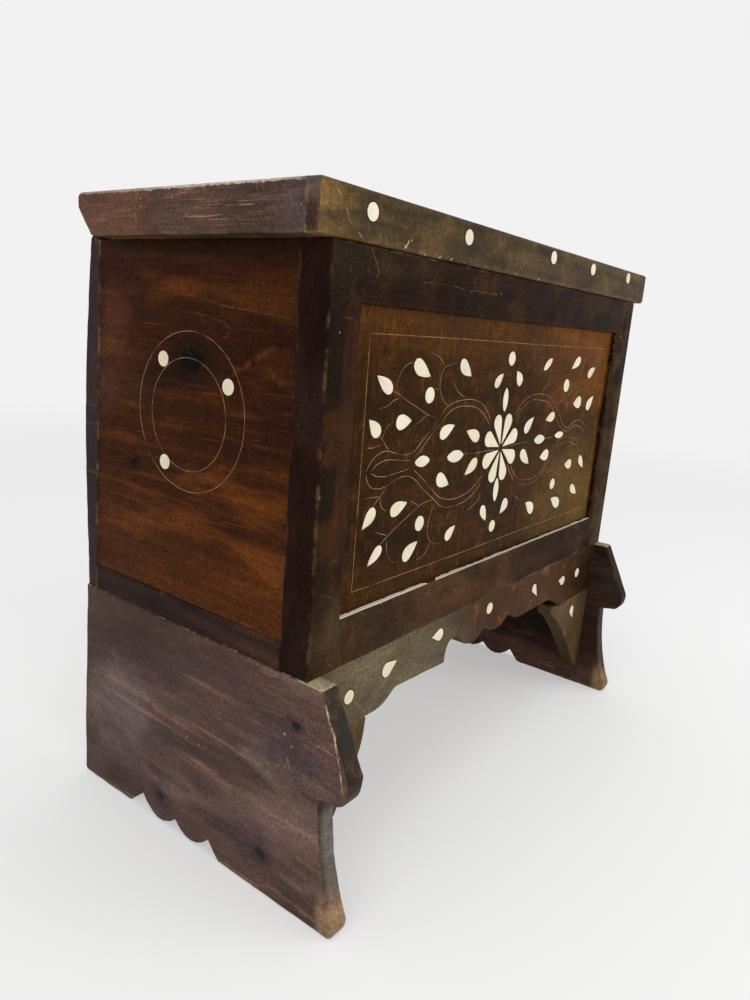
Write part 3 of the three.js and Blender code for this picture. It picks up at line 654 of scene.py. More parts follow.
def front_marks(board):
    """The frame's front: a greenish and grey painted sheen low on the left, a pale painted sheen along the
    bottom rail's middle, painted shade high on the left under the lid, warm by the panel, a worn white ledge.
    """
    g = board.graph
    x, z = board.x, board.z
    uneven = board.mask((board.noise(0.012, 4, 6.1, 0.6), 0.25, 0.7))
    # Painted sheen: greenish grey low on the left stands in for the reflection of the pale room.
    board.tint((98, 84, 76), 0.62, (z, 290, 225), (x, 60, -290), uneven)
    board.tint((26, 20, 11), 0.6, (x, -276, -292), (board.noise(0.02, 3, 1.9), 0.3, 0.6))
    # Painted shade: darker greenish grey high on the left, where the lid's edge shades the top rail.
    board.tint((34, 29, 23), 0.66, (z, 485, 520), (x, -150, -260))
    # Painted sheen: a pale tan along the middle of the bottom rail.
    board.tint((116, 86, 60), 0.42, (z, 262, 246), board.within(x, -130, 60, 70), uneven)
    board.tint((74, 46, 24), 0.45, (board.noise(0.026, 4, 3.4, 0.65), 0.48, 0.64))
    board.tint((66, 38, 12), 0.55, board.within(x, -281, -262, 4), board.within(z, 262, 480, 20),
               (board.grain((0.4, 0.4, 0.02), 3, 4.2), 0.3, 0.6))
    board.tint((92, 78, 58), 0.4, (x, 262, 270), (board.noise(0.04, 3, 7.7), 0.45, 0.62))
    facing_up = board.mask((board.facing[2], 0.55, 0.85))
    board.tint((60, 40, 24), 0.6, facing_up)
    reach = g.muladd(board.noise(0.07, 5, 2.2, 0.75), 12, board.y)
    reach = g.math("ADD", reach, g.step(x, -262, 60, -8.4, -6.6))
    reach = g.muladd(board.within(x, -136, -118, 5), 5, reach)
    board.bald = board.mask(facing_up, (z, 300, 290), (reach, -117.4, -118.2), (x, -180, 40, 0.95, 0.72))
    side = board.mask((g.math("ABSOLUTE", board.facing[0]), 0.6, 0.8))
    board.tint((30, 14, 14), 0.8, side)
    board.tint((50, 34, 42), 0.5, side, (board.noise(0.014, 3, 3.1), 0.45, 0.6), (z, 330, 400))
    spots(board, FRONT_SPOTS, (176, 158, 132), 0.7)
    strokes(board, on_front, FRAME_FRONT, 0.6, FRONT_SCRATCHES)


def apron_marks(board):
    """Grey-olive at the left, which is painted sheen, orange-brown in the middle and dark at the right."""
    g = board.graph
    uneven = g.muladd(board.noise(0.014, 3, 8.8), 90, board.x)
    high = g.muladd(board.noise(0.02, 3, 2.8), 60, board.z)
    # Painted sheen: the grey-olive on the left stands in for the reflection of the pale room.
    painted_sheen = board.mask((uneven, 60, -120))
    warm = board.within(uneven, 0, 250, 60)
    board.tint((110, 100, 88), 0.72, painted_sheen)
    board.tint((70, 42, 14), 0.75, warm)
    board.tint((124, 72, 26), 0.72, warm, (board.noise(0.03, 4, 1.7, 0.65), 0.52, 0.68))
    board.tint((92, 78, 68), 0.6, (high, 195, 165), board.within(uneven, -60, 120, 40))
    board.tint((52, 40, 26), 0.6, (uneven, 250, 330))
    board.tint((60, 50, 40), 0.7, (board.noise(0.45, 3, 4.9, 0.7), 0.62, 0.72), painted_sheen)
    long = [(-239.6, 170), (-231.1, 161.6), (-220.7, 151.3)]
    short = [(-250.6, 182), (-244.8, 181.9), (-239.7, 176)]
    stroke(board, on_front(FRAME_FRONT, long), 0.7, (150, 134, 108), 0.6)
    stroke(board, on_front(FRAME_FRONT, short), 0.5, (146, 130, 104), 0.5)


def bracket_marks(board):
    """The brackets' fronts are nearly black, and their sawn edges are a rubbed brown."""
    front = board.mask((board.facing[1], -0.5, -0.8))
    board.tint((72, 54, 32), 0.8, front)
    board.tint((100, 74, 42), 0.55, front, (board.noise(0.03, 4, 5.1, 0.6), 0.5, 0.7))
    stroke(board, on_front(FRAME_FRONT, [(238, 140), (240, 100), (247, 60)]), 0.7, (140, 112, 80), 0.5)


def lid_front_marks(board):
    """The lid's front: tan and rubbed at its left end, bald patches and chips on its lower arris."""
    uneven = board.graph.muladd(board.noise(0.06, 4, 4.4, 0.6), 40, board.x)
    board.tint((126, 98, 58), 0.6, (uneven, -255, -300))
    board.tint((112, 86, 47), 0.42, (board.noise(0.025, 4, 9.4, 0.65), 0.5, 0.64))
    board.tint((38, 30, 18), 0.65, (board.grain((0.012, 0.03, 0.06), 4, 3.9, 0.6), 0.52, 0.66))
    end = board.mask((board.facing[0], -0.6, -0.85))
    board.tint((50, 36, 37), 0.88, end)
    board.tint((112, 98, 104), 0.5, end, (board.z, 546, 562))
    across = board.grain((0.5, 0.5, 0.05), 4, 6.4, 0.7)
    board.tint((136, 110, 72), 0.28, (across, 0.56, 0.7))
    board.tint((34, 25, 14), 0.35, (across, 0.44, 0.3))
    corner = [(-303.4, 559.8), (-294.4, 551.6), (-289.8, 542.2), (-277.9, 535.1), (-271, 530.8)]
    stroke(board, on_front(LID_FRONT, corner), 0.6, (178, 148, 106), 0.65)
    stroke(board, on_front(LID_FRONT, [(-222.8, 531.5), (-219.4, 538.4)]), 0.9, (204, 188, 160), 0.7)
    low = [(-223, 533.5, 3), (-216, 539, 1.6), (-175, 531.5, 2.6), (-157, 531.5, 2.8), (-136.5, 531.5, 2.6),
           (-42.5, 531.5, 2.2), (7, 531.5, 2.6), (-196, 531, 1.6), (48, 531, 1.4)]
    spots(board, on_front(LID_FRONT, low), (196, 182, 158), 0.75)


def lid_end_marks(board):
    """Fine pale hairs along the lid's ends, a darker seam by the front, painted shade along the lower edge, a
    worn pale lower arris and a painted highlight on the top arris.
    """
    g = board.graph
    hair = board.grain((0.6, 0.035, 0.75), 4, 1.4, 0.75)
    board.tint((160, 130, 116), 0.6, (hair, 0.52, 0.68), (board.noise(0.02, 3, 6.2), 0.3, 0.55))
    board.tint((46, 32, 30), 0.5, (hair, 0.46, 0.32))
    edge = g.muladd(board.noise(0.16, 4, 3.3, 0.7), 6, board.z)
    # Painted shade along the lower edge.
    board.tint((62, 42, 34), 0.6, (board.z, 542, 532))
    board.tint((176, 154, 128), 0.8, (edge, 532.8, 532))
    # Painted highlight along the top arris of the ends.
    board.tint((196, 184, 172), 0.8, (g.math("ABSOLUTE", board.x), 317, 318.6), (edge, 565.6, 566.6))
    board.tint((40, 27, 32), 0.6, board.within(g.muladd(board.z, 0.15, board.y), -42, -26, 6))
    board.tint((100, 62, 40), 0.5, (board.y, 30, 70))
    board.tint((92, 76, 78), 0.45, (board.y, -70, -112))
    stroke(board, on_side(LID_OUT, [(60.8, 562), (61.8, 549.5), (63, 531)]), 1, (30, 20, 19), 0.7)
    stroke(board, on_side(LID_OUT, [(-90.9, 561.5), (-88.8, 550.4)]), 0.7, (34, 24, 26), 0.6)
    stroke(board, on_side(LID_OUT, [(-46.4, 560), (-44.6, 556.5), (-47.8, 558.6)]), 0.6, (28, 20, 20), 0.7)
    spots(board, on_side(LID_OUT, [(59, 557, 1.8), (58, 551.5, 1.6), (63.5, 554, 1.2), (20, 557, 1.6),
                                   (-112, 548, 1.4)]), (158, 132, 116), 0.5)


# Depth and height down the ear's outer arris
EAR_ARRIS = [(-141, 207), (-143.9, 202.3), (-150.2, 185.3), (-155.8, 176.2), (-158.6, 166), (-163.7, 151.7),
             (-168.2, 132.2)]
# Clouds, spots and streaks on the left foot board: depth and height, then reach or width, colour and
# how strong a patch or how soft a streak is
FOOT_PATCHES = [
    (-112, 148, 44, (46, 34, 42), 0.6), (-72, 45, 36, (52, 36, 46), 0.6), (47, 34, 26, (48, 38, 40), 0.55),
    (115, 95, 74, (110, 96, 92), 0.45), (-91, 136, 14, (44, 38, 50), 0.5),
    (-138, 143, 12, (48, 40, 52), 0.45),
]
FOOT_SPOTS = [(-106.2, 157.8, 2), (-114.2, 150, 1.8), (11.7, 105.3, 1.2), (-4.6, 104.4, 1.4),
              (-13.8, 106.4, 1.2), (143.4, 66.1, 1.2)]
FOOT_STREAKS = [
    ([(163.4, 116.4), (129.3, 121.2), (100.2, 121.5), (45.7, 118.1)], 1.6, (126, 82, 62), 1.8),
    ([(-52.4, 117.6), (-80.6, 121), (-107, 129.3), (-113.5, 129.6)], 0.8, (150, 100, 72), 0.8),
    ([(-140.2, 162.1), (-150, 161.5), (-159.1, 159.6)], 0.7, (150, 126, 114), 0.7),
    ([(-77.8, 169.7), (-86.7, 169.8), (-104.1, 172.4)], 1.2, (126, 82, 58), 1.4),
    ([(-110.7, 138), (-113.4, 130.5)], 1.6, (146, 94, 58), 1),
    ([(-57.6, 61.3), (-88.2, 71.1), (-101.7, 74.3), (-142.3, 82.8)], 0.8, (138, 98, 78), 0.8),
    ([(-62.7, 58.1), (-77.7, 48.6)], 0.8, (138, 92, 70), 0.8),
    ([(-75.1, 53), (-86.8, 55.3)], 1.4, (134, 76, 56), 0.8),
    ([(55, 43.5), (45, 38), (36, 35)], 2, (120, 78, 62), 1.2),
    ([(-110.2, 177.4), (-111.5, 168), (-109.2, 159.9)], 0.9, (14, 9, 10), 0.5),
    ([(-126.5, 182.3), (-119.3, 167.6), (-115.4, 162.5)], 1.1, (14, 9, 10), 0.5),
    ([(-122, 172), (-128, 164)], 0.8, (18, 12, 14), 0.5),
]


def foot_marks(board):
    """Soft lighter streaks along the foot boards, dark and warm clouds, rubbed front edges, and painted shade
    on faces that look down and in the notch under the ear.
    """
    g = board.graph
    streak = board.grain((0.02, 0.008, 0.09), 5, 3.7, 0.6, 0.5)
    board.tint((136, 98, 80), 0.5, (streak, 0.54, 0.68))
    board.tint((54, 37, 38), 0.6, (streak, 0.46, 0.34))
    band = board.grain((0.02, 0.005, 0.022), 3, 8.8, 0.55, 0.4)
    board.tint((116, 92, 84), 0.5, (band, 0.5, 0.64))
    board.tint((56, 38, 34), 0.5, (band, 0.46, 0.34))
    board.tint((48, 26, 14), 0.84, (g.muladd(board.y, 0.45, board.z), 150, 225),
               (board.noise(0.012, 3, 5.2), 0.1, 0.4))
    patches(board, FOOT_OUT, FOOT_PATCHES)
    board.tint((140, 108, 92), 0.35, (board.grain((0.3, 0.03, 0.6), 4, 1.7, 0.75), 0.6, 0.7))
    strokes(board, on_side, FOOT_OUT, 0.5, FOOT_STREAKS)
    # Painted shade: faces that look down are made nearly black.
    board.tint((20, 13, 12), 0.85, (board.facing[2], -0.5, -0.8))
    facing_up = board.mask((board.facing[2], 0.55, 0.85))
    board.tint((58, 42, 38), 0.9, facing_up)
    board.tint((150, 132, 112), 0.6, facing_up, (board.noise(0.1, 4, 4.6, 0.75), 0.54, 0.6))
    ear_top = board.mask(facing_up, (board.y, -112, -122))
    grainy = board.mask((board.noise(0.5, 3, 8.1, 0.7), 0.35, 0.65))
    board.tint((178, 160, 132), 0.95, ear_top)
    board.tint((128, 108, 82), 0.7, ear_top, grainy)
    front = board.mask((board.facing[1], -0.45, -0.7))
    ear = board.mask(front, (board.z, 124, 134))
    board.tint((25, 15, 6), 0.97, ear)
    board.tint((96, 62, 28), 0.6, ear, (board.noise(0.05, 4, 9.9, 0.65), 0.48, 0.66))
    leg = board.mask(front, board.within(board.z, 34, 112, 14))
    board.tint((96, 92, 82), 0.7, leg)
    board.tint((38, 34, 32), 0.8, leg, (board.x, -294, -301))
    # Painted shade in the notch under the ear.
    board.tint((18, 13, 12), 0.85, front, board.within(board.z, 104, 124, 6))
    low = g.muladd(board.noise(0.07, 4, 7, 0.65), 40, board.z)
    toe = board.mask((board.y, -146, -156), (low, 62, 40))
    board.tint((150, 120, 86), 0.8, toe)
    board.tint((104, 78, 54), 0.55, toe, grainy)
    spots(board, on_side(FOOT_OUT, FOOT_SPOTS), (168, 138, 116), 0.7)
    stroke(board, on_side(FOOT_OUT + 0.6, EAR_ARRIS), 1.5, (204, 180, 150), 0.85, 0.5)


def right_foot_marks(board):
    """The right foot board: nearly black brown above its tan rubbed toe, a painted shade for the shade under
    the chest.
    """
    foot_marks(board)
    low = board.graph.muladd(board.noise(0.05, 4, 7, 0.6), 60, board.z)
    shaded_above = board.mask((low, 50, 90))
    # Painted shade: the board is darkened above the toe, where it stands in the chest's shade.
    board.tint((30, 20, 11), 0.82, shaded_above)
    board.tint((158, 138, 108), 0.8, shaded_above, (board.facing[2], 0.55, 0.85))


def back_marks(board):
    """The back board's ends are darker, with two pale scored lines across the left one."""
    board.tint((32, 20, 18), 0.6, (board.graph.math("ABSOLUTE", board.facing[0]), 0.6, 0.85))
    for places in ([(168, 385.3), (146, 383.3)], [(168, 367), (146, 367.8)]):
        stroke(board, on_side(CARCASS_OUT, places), 0.5, (138, 120, 122), 0.6)


def panel_marks(board):
    """The front panel: golden along its top, dull and grey low on the right, dark low on the left."""
    cloud = board.graph.muladd(board.noise(0.015, 4, 2.9, 0.6), 70, board.z)
    left = board.mask((board.x, 0, -240))
    right = board.mask((board.x, 30, 170))
    mottle = board.noise(0.09, 4, 6.3, 0.7)
    upright = board.grain((0.3, 0.3, 0.03), 4, 2.7, 0.65)
    board.tint((78, 48, 12), 0.6, (cloud, 470, 520))
    board.tint((42, 25, 8), 0.68, left, (cloud, 500, 420))
    board.tint((98, 76, 54), 0.6, right, (cloud, 430, 350))
    board.tint((112, 68, 28), 0.6, right, (cloud, 400, 460))
    board.tint((70, 44, 24), 0.5, left, (cloud, 330, 290))
    board.tint((104, 64, 22), 0.3, (mottle, 0.5, 0.68))
    board.tint((30, 17, 7), 0.45, (mottle, 0.46, 0.32))
    board.tint((112, 68, 26), 0.3, (upright, 0.54, 0.7))
    board.tint((24, 13, 6), 0.4, (upright, 0.46, 0.32))
    board.tint((150, 106, 84), 0.6, (board.noise(0.25, 4, 8.2, 0.8), 0.6, 0.66), (board.x, 150, 200),
               (board.z, 380, 440))


# Clouds and ring lines on the left side panel, as on the foot board
SIDE_PATCHES = [(125, 478, 36, (84, 48, 34), 0.4), (140, 400, 30, (92, 62, 52), 0.35)]
SIDE_STREAKS = [
    ([(70, 491.5), (52.1, 491), (12, 486.2), (-16.2, 481.3), (-47.1, 479.1), (-88.2, 475.6)], 0.8,
     (124, 72, 28), 1),
    ([(38.9, 476.5), (6.8, 473.5), (-16.7, 469.4), (-26, 464), (-24, 460), (-19.5, 457.6)], 0.8,
     (122, 70, 28), 1),
    ([(-1.5, 503.1), (-45.9, 500.5), (-76.9, 497.2)], 0.7, (110, 62, 28), 1),
    ([(-32, 432.1), (-49.2, 441.2), (-71.6, 453.3)], 1.7, (118, 70, 22), 2.2),
    ([(-66, 440), (-82, 428)], 1.4, (104, 60, 22), 2),
    ([(108, 346), (97, 347), (90, 340)], 1.2, (110, 66, 26), 1.2),
]


def side_marks(board):
    """Soft warm clouds, fine grain, a few orange ring lines along the side panel and a painted shadow of the
    lid along its top.
    """
    sweep = board.grain((0.02, 0.009, 0.03), 3, 12.3, 0.5, 0.2)
    board.tint((116, 64, 20), 0.5, (sweep, 0.5, 0.66))
    board.tint((36, 16, 10), 0.65, (sweep, 0.46, 0.32))
    grain = board.grain((0.3, 0.012, 0.55), 4, 7.3, 0.6)
    board.tint((108, 60, 24), 0.34, (grain, 0.54, 0.7))
    board.tint((30, 13, 8), 0.45, (grain, 0.46, 0.34))
    # Painted shadow: the lid's overhang shades the top of the panel.
    board.tint((36, 17, 13), 0.85, (board.z, 480, 535))
    board.tint((98, 53, 18), 0.6, (board.z, 330, 240, 0, 0.5))
    patches(board, SIDE_OUT, [(19.5, 438, 20, (36, 15, 10), 0.7)])
    board.tint((64, 40, 34), 0.35, (board.noise(0.011, 3, 9.1), 0.5, 0.66))
    high = board.graph.muladd(board.noise(0.02, 3, 5.5), 80, board.z)
    board.tint((44, 22, 9), 0.55, (high, 455, 500), (board.y, 40, -60))
    patches(board, SIDE_OUT, SIDE_PATCHES)
    strokes(board, on_side, SIDE_OUT, 0.42, SIDE_STREAKS)


# The boards' woods: four tones each, from the darkest to the lightest

LID_TONES = ((40, 27, 24), (63, 45, 37), (84, 61, 50), (112, 87, 72))
LID_FRONT_TONES = ((31, 24, 14), (53, 40, 22), (74, 57, 33), (100, 80, 48))
FRAME_TONES = ((12, 7, 4), (23, 13, 7), (35, 21, 10), (54, 34, 17))
SIDE_TONES = ((26, 11, 5), (46, 21, 8), (64, 33, 11), (94, 54, 19))
FOOT_TONES = ((40, 26, 23), (60, 41, 36), (78, 56, 49), (98, 72, 62))
PANEL_TONES = ((18, 10, 3), (37, 20, 5), (54, 32, 8), (80, 51, 15))
BACK_TONES = ((20, 11, 9), (33, 19, 15), (48, 29, 22), (66, 43, 33))
BRACKET_TONES = ((38, 28, 16), (58, 42, 26), (80, 60, 38), (104, 82, 54))
BARE_TONES = ((70, 48, 30), (104, 76, 48), (130, 98, 64), (156, 122, 84))
# What boards of one kind share
FRAME_LOOKS = {"marks": front_marks, "edge": 0.6, "shine": 0.03, "cast": (0.86, 0.7, 0.4)}
SIDE_LOOKS = {"spacing": 9, "ring": -0.3, "crisp": 6, "grain": 0.3, "cloud": 0.7, "wear": 0.1, "scratch": 0.25,
              "marks": side_marks}
FOOT_LOOKS = {"spacing": 9, "ring": 0.12, "grain": 0.35, "cloud": 0.8, "gloss": 0.44}
# The back board's top edge behind the lid's slanted heel: an outline in depth and height
BACK_RIDGE = [(148.6, 528.5), (148.6, 533.2), (149.6, 534), (153.2, 534), (156.4, 530.6), (156.4, 528.5)]
# Chips: a place on an arris, its reach and its depth
FOOT_CHIPS = on_side(FOOT_OUT, [(-144, 202, 6, 0.9), (-150, 185, 6, 1), (-158.6, 166, 7, 1.1),
                                (-168, 133, 9, 1.3), (-166, 22, 14, 1.6)])
LID_CHIPS = on_front(LID_FRONT, [(-222, 530.4, 6, 1.5), (-157, 530.4, 6, 1.2), (-136, 530.4, 6, 1.4),
                                 (7, 530.4, 7, 1.3)])


def dress_boards():
    stile = wood("frame_upright", "zxy", FRAME_TONES, 1, (-280, 60), wear=0.5, **FRAME_LOOKS)
    rail = wood("frame_rail", "xzy", FRAME_TONES, 2, (230, 90), wear=0.4, **FRAME_LOOKS)
    side = wood("side_panel", "yzx", SIDE_TONES, 3, (450, -150), shine=0.03, cast=(0.88, 0.82, 0.7),
                knots=[(-299, 18.5, 438, 9.5), (-299, 94.5, 341.5, 3.4)], **SIDE_LOOKS)
    side_right = wood("side_panel_far", "yzx", SIDE_TONES, 4, (330, 190), shine=0.07,
                      knots=[(299, -20, 330, 7)], **SIDE_LOOKS)
    side_rail = wood("side_rail", "yzx", BACK_TONES, 5, (200, -250), wear=0.3, shine=0.05)
    back = wood("back_board", "xzy", BACK_TONES, 6, (380, 60), spacing=7, ring=0.4, wear=0.5, marks=back_marks,
                knots=[(120, 168, 420, 9), (-170, 168, 300, 6)])
    foot = wood("foot_board", "yzx", FOOT_TONES, 7, (60, -230), marks=foot_marks, edge=0.8, shine=0.14,
                knots=[(-302, -118, 170, 3.6), (-302, -85.5, 38, 4.6), (-302, 48.5, 28, 4.4)], **FOOT_LOOKS)
    right_foot = wood("right_foot_board", "yzx", FOOT_TONES, 7.5, (60, 230), wear=0.5, marks=right_foot_marks,
                      edge=0.7, shine=0.05, **FOOT_LOOKS)
    apron = wood("apron", "xzy", FRAME_TONES, 8, (120, 80), grain=0.4, marks=apron_marks, wear=0.5, edge=0.7,
                 shine=0.05, cast=(0.9, 0.85, 0.62))
    bracket = wood("bracket", "zxy", BRACKET_TONES, 8.5, (120, 80), grain=0.4, ring=0.12, wear=0.5, edge=0.7,
                   marks=bracket_marks, shine=0.05)
    panel = wood("front_panel", "xzy", PANEL_TONES, 9, (350, 160), spacing=8, ring=-0.15, crisp=4, grain=0.3,
                 cloud=0.8, wear=0, scratch=0.3, shine=0.03, marks=panel_marks, cast=(0.92, 0.81, 0.28))
    lid = wood("lid_boards", "xyz", LID_TONES, 10, (-40, 480), spacing=7, ring=0.4, shine=0.15,
               knots=[(-120, -40, 565, 8), (180, 70, 565, 6)])
    lid_front = wood("lid_front", "xzy", LID_FRONT_TONES, 11, (500, 40), grain=0.35, marks=lid_front_marks,
                     wear=0.7, scratch=0.8, shine=0.06, cast=(0.86, 0.82, 0.68))
    lid_end = wood("lid_ends", "yzx", LID_TONES, 12, (520, -250), grain=0.45, ring=0.15, marks=lid_end_marks,
                   scratch=0.8, shine=0.12, cast=(0.97, 0.92, 0.86))
    bare = wood("bare_wood", "xyz", BARE_TONES, 13, (0, 300), wear=0.2, gloss=0.7, shine=0.25)

    for name, foot_wood in (("left", foot), ("right", right_foot)):
        dress(f"front_stile_{name}", stile, "frame_wood", 1.3, seed=1)
        dress(f"side_rail_{name}", side_rail, "frame_wood", 0.8, seed=2)
        dress(f"foot_board_{name}", foot_wood, "foot_wood", 2.2, 0.7, seed=3, bites=FOOT_CHIPS)
        dress(f"foot_bracket_{name}", bracket, "foot_wood", 1.2, seed=4)
        dress(f"lid_end_edging_{name}_front", lid_end, "lid_wood", 2.2, 0.6, seed=5)
        dress(f"lid_end_edging_{name}_rear", lid_end, "lid_wood", 2.2, 0.6, seed=6)
        dress(f"lid_batten_{name}", bare, "bare_wood", 1, seed=7)
        dress(f"bottom_cleat_{name}", bare, "bare_wood", 1, seed=8)
    dress("side_panel_left", side, "panel_wood", 0.5, 0)
    dress("side_panel_right", side_right, "panel_wood", 0.5, 0)
    dress("front_top_rail", rail, "frame_wood", 1.2, seed=9)
    dress("front_bottom_rail", rail, "frame_wood", 1.2, seed=10)
    dress("front_panel", panel, "panel_wood", 0.4, 0)
    dress("apron_front", apron, "foot_wood", 1.4, 0.5, seed=11)
    dress("back_board", back, "frame_wood", 1.4, 0.6, seed=12, ridge=BACK_RIDGE)
    dress("back_rail", back, "frame_wood", 1.2, seed=13)
    dress("lid_board_front", lid, "lid_wood", 1.2, seed=14)
    dress("lid_board_rear", lid, "lid_wood", 2, 0.7, seed=15)
    dress("lid_front_edging", lid_front, "lid_wood", 2.4, 0.8, seed=16, bites=LID_CHIPS)
    dress("bottom_board_front", bare, "bare_wood", 0.8, seed=17)
    dress("bottom_board_rear", bare, "bare_wood", 0.8, seed=18)


# Flat faces that hold inlay and scribed lines

RIGHTWARDS = Vector((1, 0, 0))
FORWARDS = Vector((0, -1, 0))
UPWARDS = Vector((0, 0, 1))


class Face:
    """A board's flat face: a point of it in millimetres, its ways right, up and out, and its body."""

    def __init__(self, origin, right, body="chest"):
        self.origin = Vector(origin)
        self.right = right
        self.out = right.cross(UPWARDS)
        self.body = body

    def at(self, a, b, height):
        return (self.origin + self.right * a + UPWARDS * b + self.out * height) * MM

    def seen(self, point):
        """A point in metres as this face's right and up, and its height out of the face."""
        away = point / MM - self.origin
        return away.dot(self.right), away.dot(UPWARDS), away.dot(self.out)


PANEL = Face((-260, PANEL_FRONT, 490), RIGHTWARDS)
APRON_FACE = Face((0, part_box("apron_front")[0].y / MM, 0), RIGHTWARDS)
BRACKET_FACE = Face((0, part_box("foot_bracket_right")[0].y / MM, 0), RIGHTWARDS)
LID_FACE = Face((0, LID_FRONT, 0), RIGHTWARDS, "lid")
SIDE_FACE = Face((SIDE_OUT, 0, 0), FORWARDS)


def circle(radius, count):
    turns = [math.tau * i / count for i in range(count)]
    return [(radius * math.cos(turn), radius * math.sin(turn)) for turn in turns]


def counterclockwise(outline):
    area = sum(a[0] * b[1] - b[0] * a[1] for a, b in zip(outline, outline[1:] + outline[:1]))
    return outline if area > 0 else outline[::-1]


def grown(outline, distance, seed=None):
    """An outline moved outwards, by an uneven distance where a seed is given."""
    moved = []
    for i, (a, b) in enumerate(outline):
        before, after = Vector(outline[i - 1]), Vector(outline[(i + 1) % len(outline)])
        here = Vector((a, b))
        ahead = (here - before).normalized() + (after - here).normalized()
        normal = Vector((ahead.y, -ahead.x)).normalized()
        reach = distance
        if seed is not None:
            reach *= 0.8 + 0.7 * noise.noise(Vector((a * 0.25, b * 0.25, seed)))
        moved.append((a + normal.x * reach, b + normal.y * reach))
    return moved


def stack(bm, face, loops, ring=False):
    """A closed solid through outlines of equal count, each with its height. A ring has a hole in it."""
    rows = [[bm.verts.new(face.at(a, b, height)) for a, b in outline] for outline, height in loops]
    add_walls(bm, rows, ring)
    if not ring:
        add_caps(bm, rows)


def finish_piece(name, bm, face, material, slot):
    bmesh.ops.recalc_face_normals(bm, faces=bm.faces)
    mesh = write_mesh(bm, bpy.data.meshes.new(name))
    for polygon in mesh.polygons:
        polygon.use_smooth = True
    weigh_normals(new_piece(name, mesh, face.body, material, slot))


# Bone inlay of the front panel, in millimetres right of and below the opening's top left corner

CHIP_PROUD = 0.3
CHIP_SHOULDER = 0.18
CHIP_BASE = -0.25
CHIP_ROUND = 0.35
CHIP_POINTS = 26
FILLER_WIDTH = 1.1
FILLER_PROUD = 0.05
FILLER_UNDER = 0.2
FILLER_BASE = -0.2
HAND_CUT = 0.28

# Leaves: right, down, length, width, where the tip points in degrees, and how far the tip leans
LEAVES = [
    (33.5, 92, 20, 12, 130, 0.4), (33.5, 167, 22, 12, -141, 0.3), (42.5, 57.5, 25, 11.5, 143, 0.4),
    (46, 201.5, 23, 10.5, -142, 0), (73, 90, 22.5, 13, 3, 0), (76, 165, 25, 12.5, 5, 0.5),
    (94.5, 45.5, 28, 13.5, -13, -0.7), (99.5, 208, 24.5, 13.5, 19, 0.6), (143, 103.5, 25, 12.5, 6, 0.8),
    (143.5, 147, 23.5, 13.5, -10, -0.6), (166, 45, 24, 13, -18, -0.7), (166.5, 202, 20, 11, 29, 0.3),
    (191, 107.5, 27, 12, 153, 0.5), (192.5, 140, 25.5, 12, -156, 0.4), (231, 56.5, 20, 10, 45, -0.3),
    (230, 192.5, 21, 11, -49, -0.3), (272.5, 191.5, 19, 13, -134, 0), (274, 55, 18.5, 12.5, 133, 0),
    (310.5, 141, 28, 12.5, -27, -0.5), (311.5, 106.5, 24.5, 12, 29, 0.5), (336.5, 203, 24.5, 13.5, 163, -0.7),
    (360, 144, 22.5, 13, -174, 0), (363.5, 99.5, 23, 11, -177, 0.5), (408, 205.5, 29, 13, 159, -0.2),
    (417.5, 38.5, 26, 11, -161, 0.6), (433.5, 161.5, 20.5, 12, 177, 0), (436.5, 86, 23.5, 14.5, -176, 0),
    (462.5, 197.5, 25.5, 10.5, -30, 0), (469, 49, 23.5, 11, 26, 0), (475.5, 163, 23.5, 10.5, -42, 0),
    (477, 87, 24, 13, 40, 0),
]
# Two-pointed leaves: right, down, length, width and angle
LENSES = [
    (106, 126.5, 23, 10, 0), (161.5, 127, 29, 11.5, 0), (249.5, 77, 24, 10.5, 90),
    (250.5, 170.5, 25, 10.5, 90), (340.5, 41, 23, 8.5, 32), (342, 124, 26.5, 10.5, 0), (395, 122.5, 24, 8, 0),
]
# Round buds: right, down and width
ROUNDS = [(108.5, 69, 14), (110.5, 183.5, 14), (251, 209.5, 12.5), (253.5, 36, 14), (394, 181.5, 13),
          (397.5, 65, 15)]


def placed(points, right, down, degrees, seed):
    """Turns an outline, puts it on the panel and gives it the wobble of a hand-cut edge."""
    turn = math.radians(degrees)
    outline = []
    for a, b in points:
        x = right + a * math.cos(turn) - b * math.sin(turn)
        y = -down + a * math.sin(turn) + b * math.cos(turn)
        wobble = noise.noise_vector(Vector((x * 0.2, y * 0.2, seed)))
        outline.append((x + HAND_CUT * wobble.x, y + HAND_CUT * wobble.y))
    return outline


def leaf_outline(length, width, lean):
    """A drop with its point at +x. Lean draws the point towards one side, which becomes straight."""
    raw = []
    for i in range(CHIP_POINTS):
        t = math.tau * i / CHIP_POINTS
        raw.append((math.cos(t), math.sin(t) * abs(math.sin(t / 2)) ** 1.15))
    widest = max(y for _, y in raw)
    return [(x * length / 2, (y / widest + lean * ((x + 1) / 2) ** 1.5) * width / 2) for x, y in raw]


def lens_outline(length, width):
    outline = []
    for i in range(CHIP_POINTS):
        t = math.tau * i / CHIP_POINTS
        side = 1 if math.sin(t) >= 0 else -1
        outline.append((math.cos(t) * length / 2, side * abs(math.sin(t)) ** 1.45 * width / 2))
    return outline


def panel_outlines():
    """Every bone piece of the panel outside the rosette, with its name."""
    found = []
    for i, (right, down, length, width, degrees, lean) in enumerate(LEAVES, 1):
        found.append((f"panel_leaf_{i}", placed(leaf_outline(length, width, lean), right, down, degrees, i)))
    for i, (right, down, length, width, degrees) in enumerate(LENSES, 1):
        found.append((f"panel_lens_{i}", placed(lens_outline(length, width), right, down, degrees, 40 + i)))
    for i, (right, down, width) in enumerate(ROUNDS, 1):
        found.append((f"panel_bud_{i}", placed(circle(width / 2, CHIP_POINTS), right, down, 0, 50 + i)))
    return found


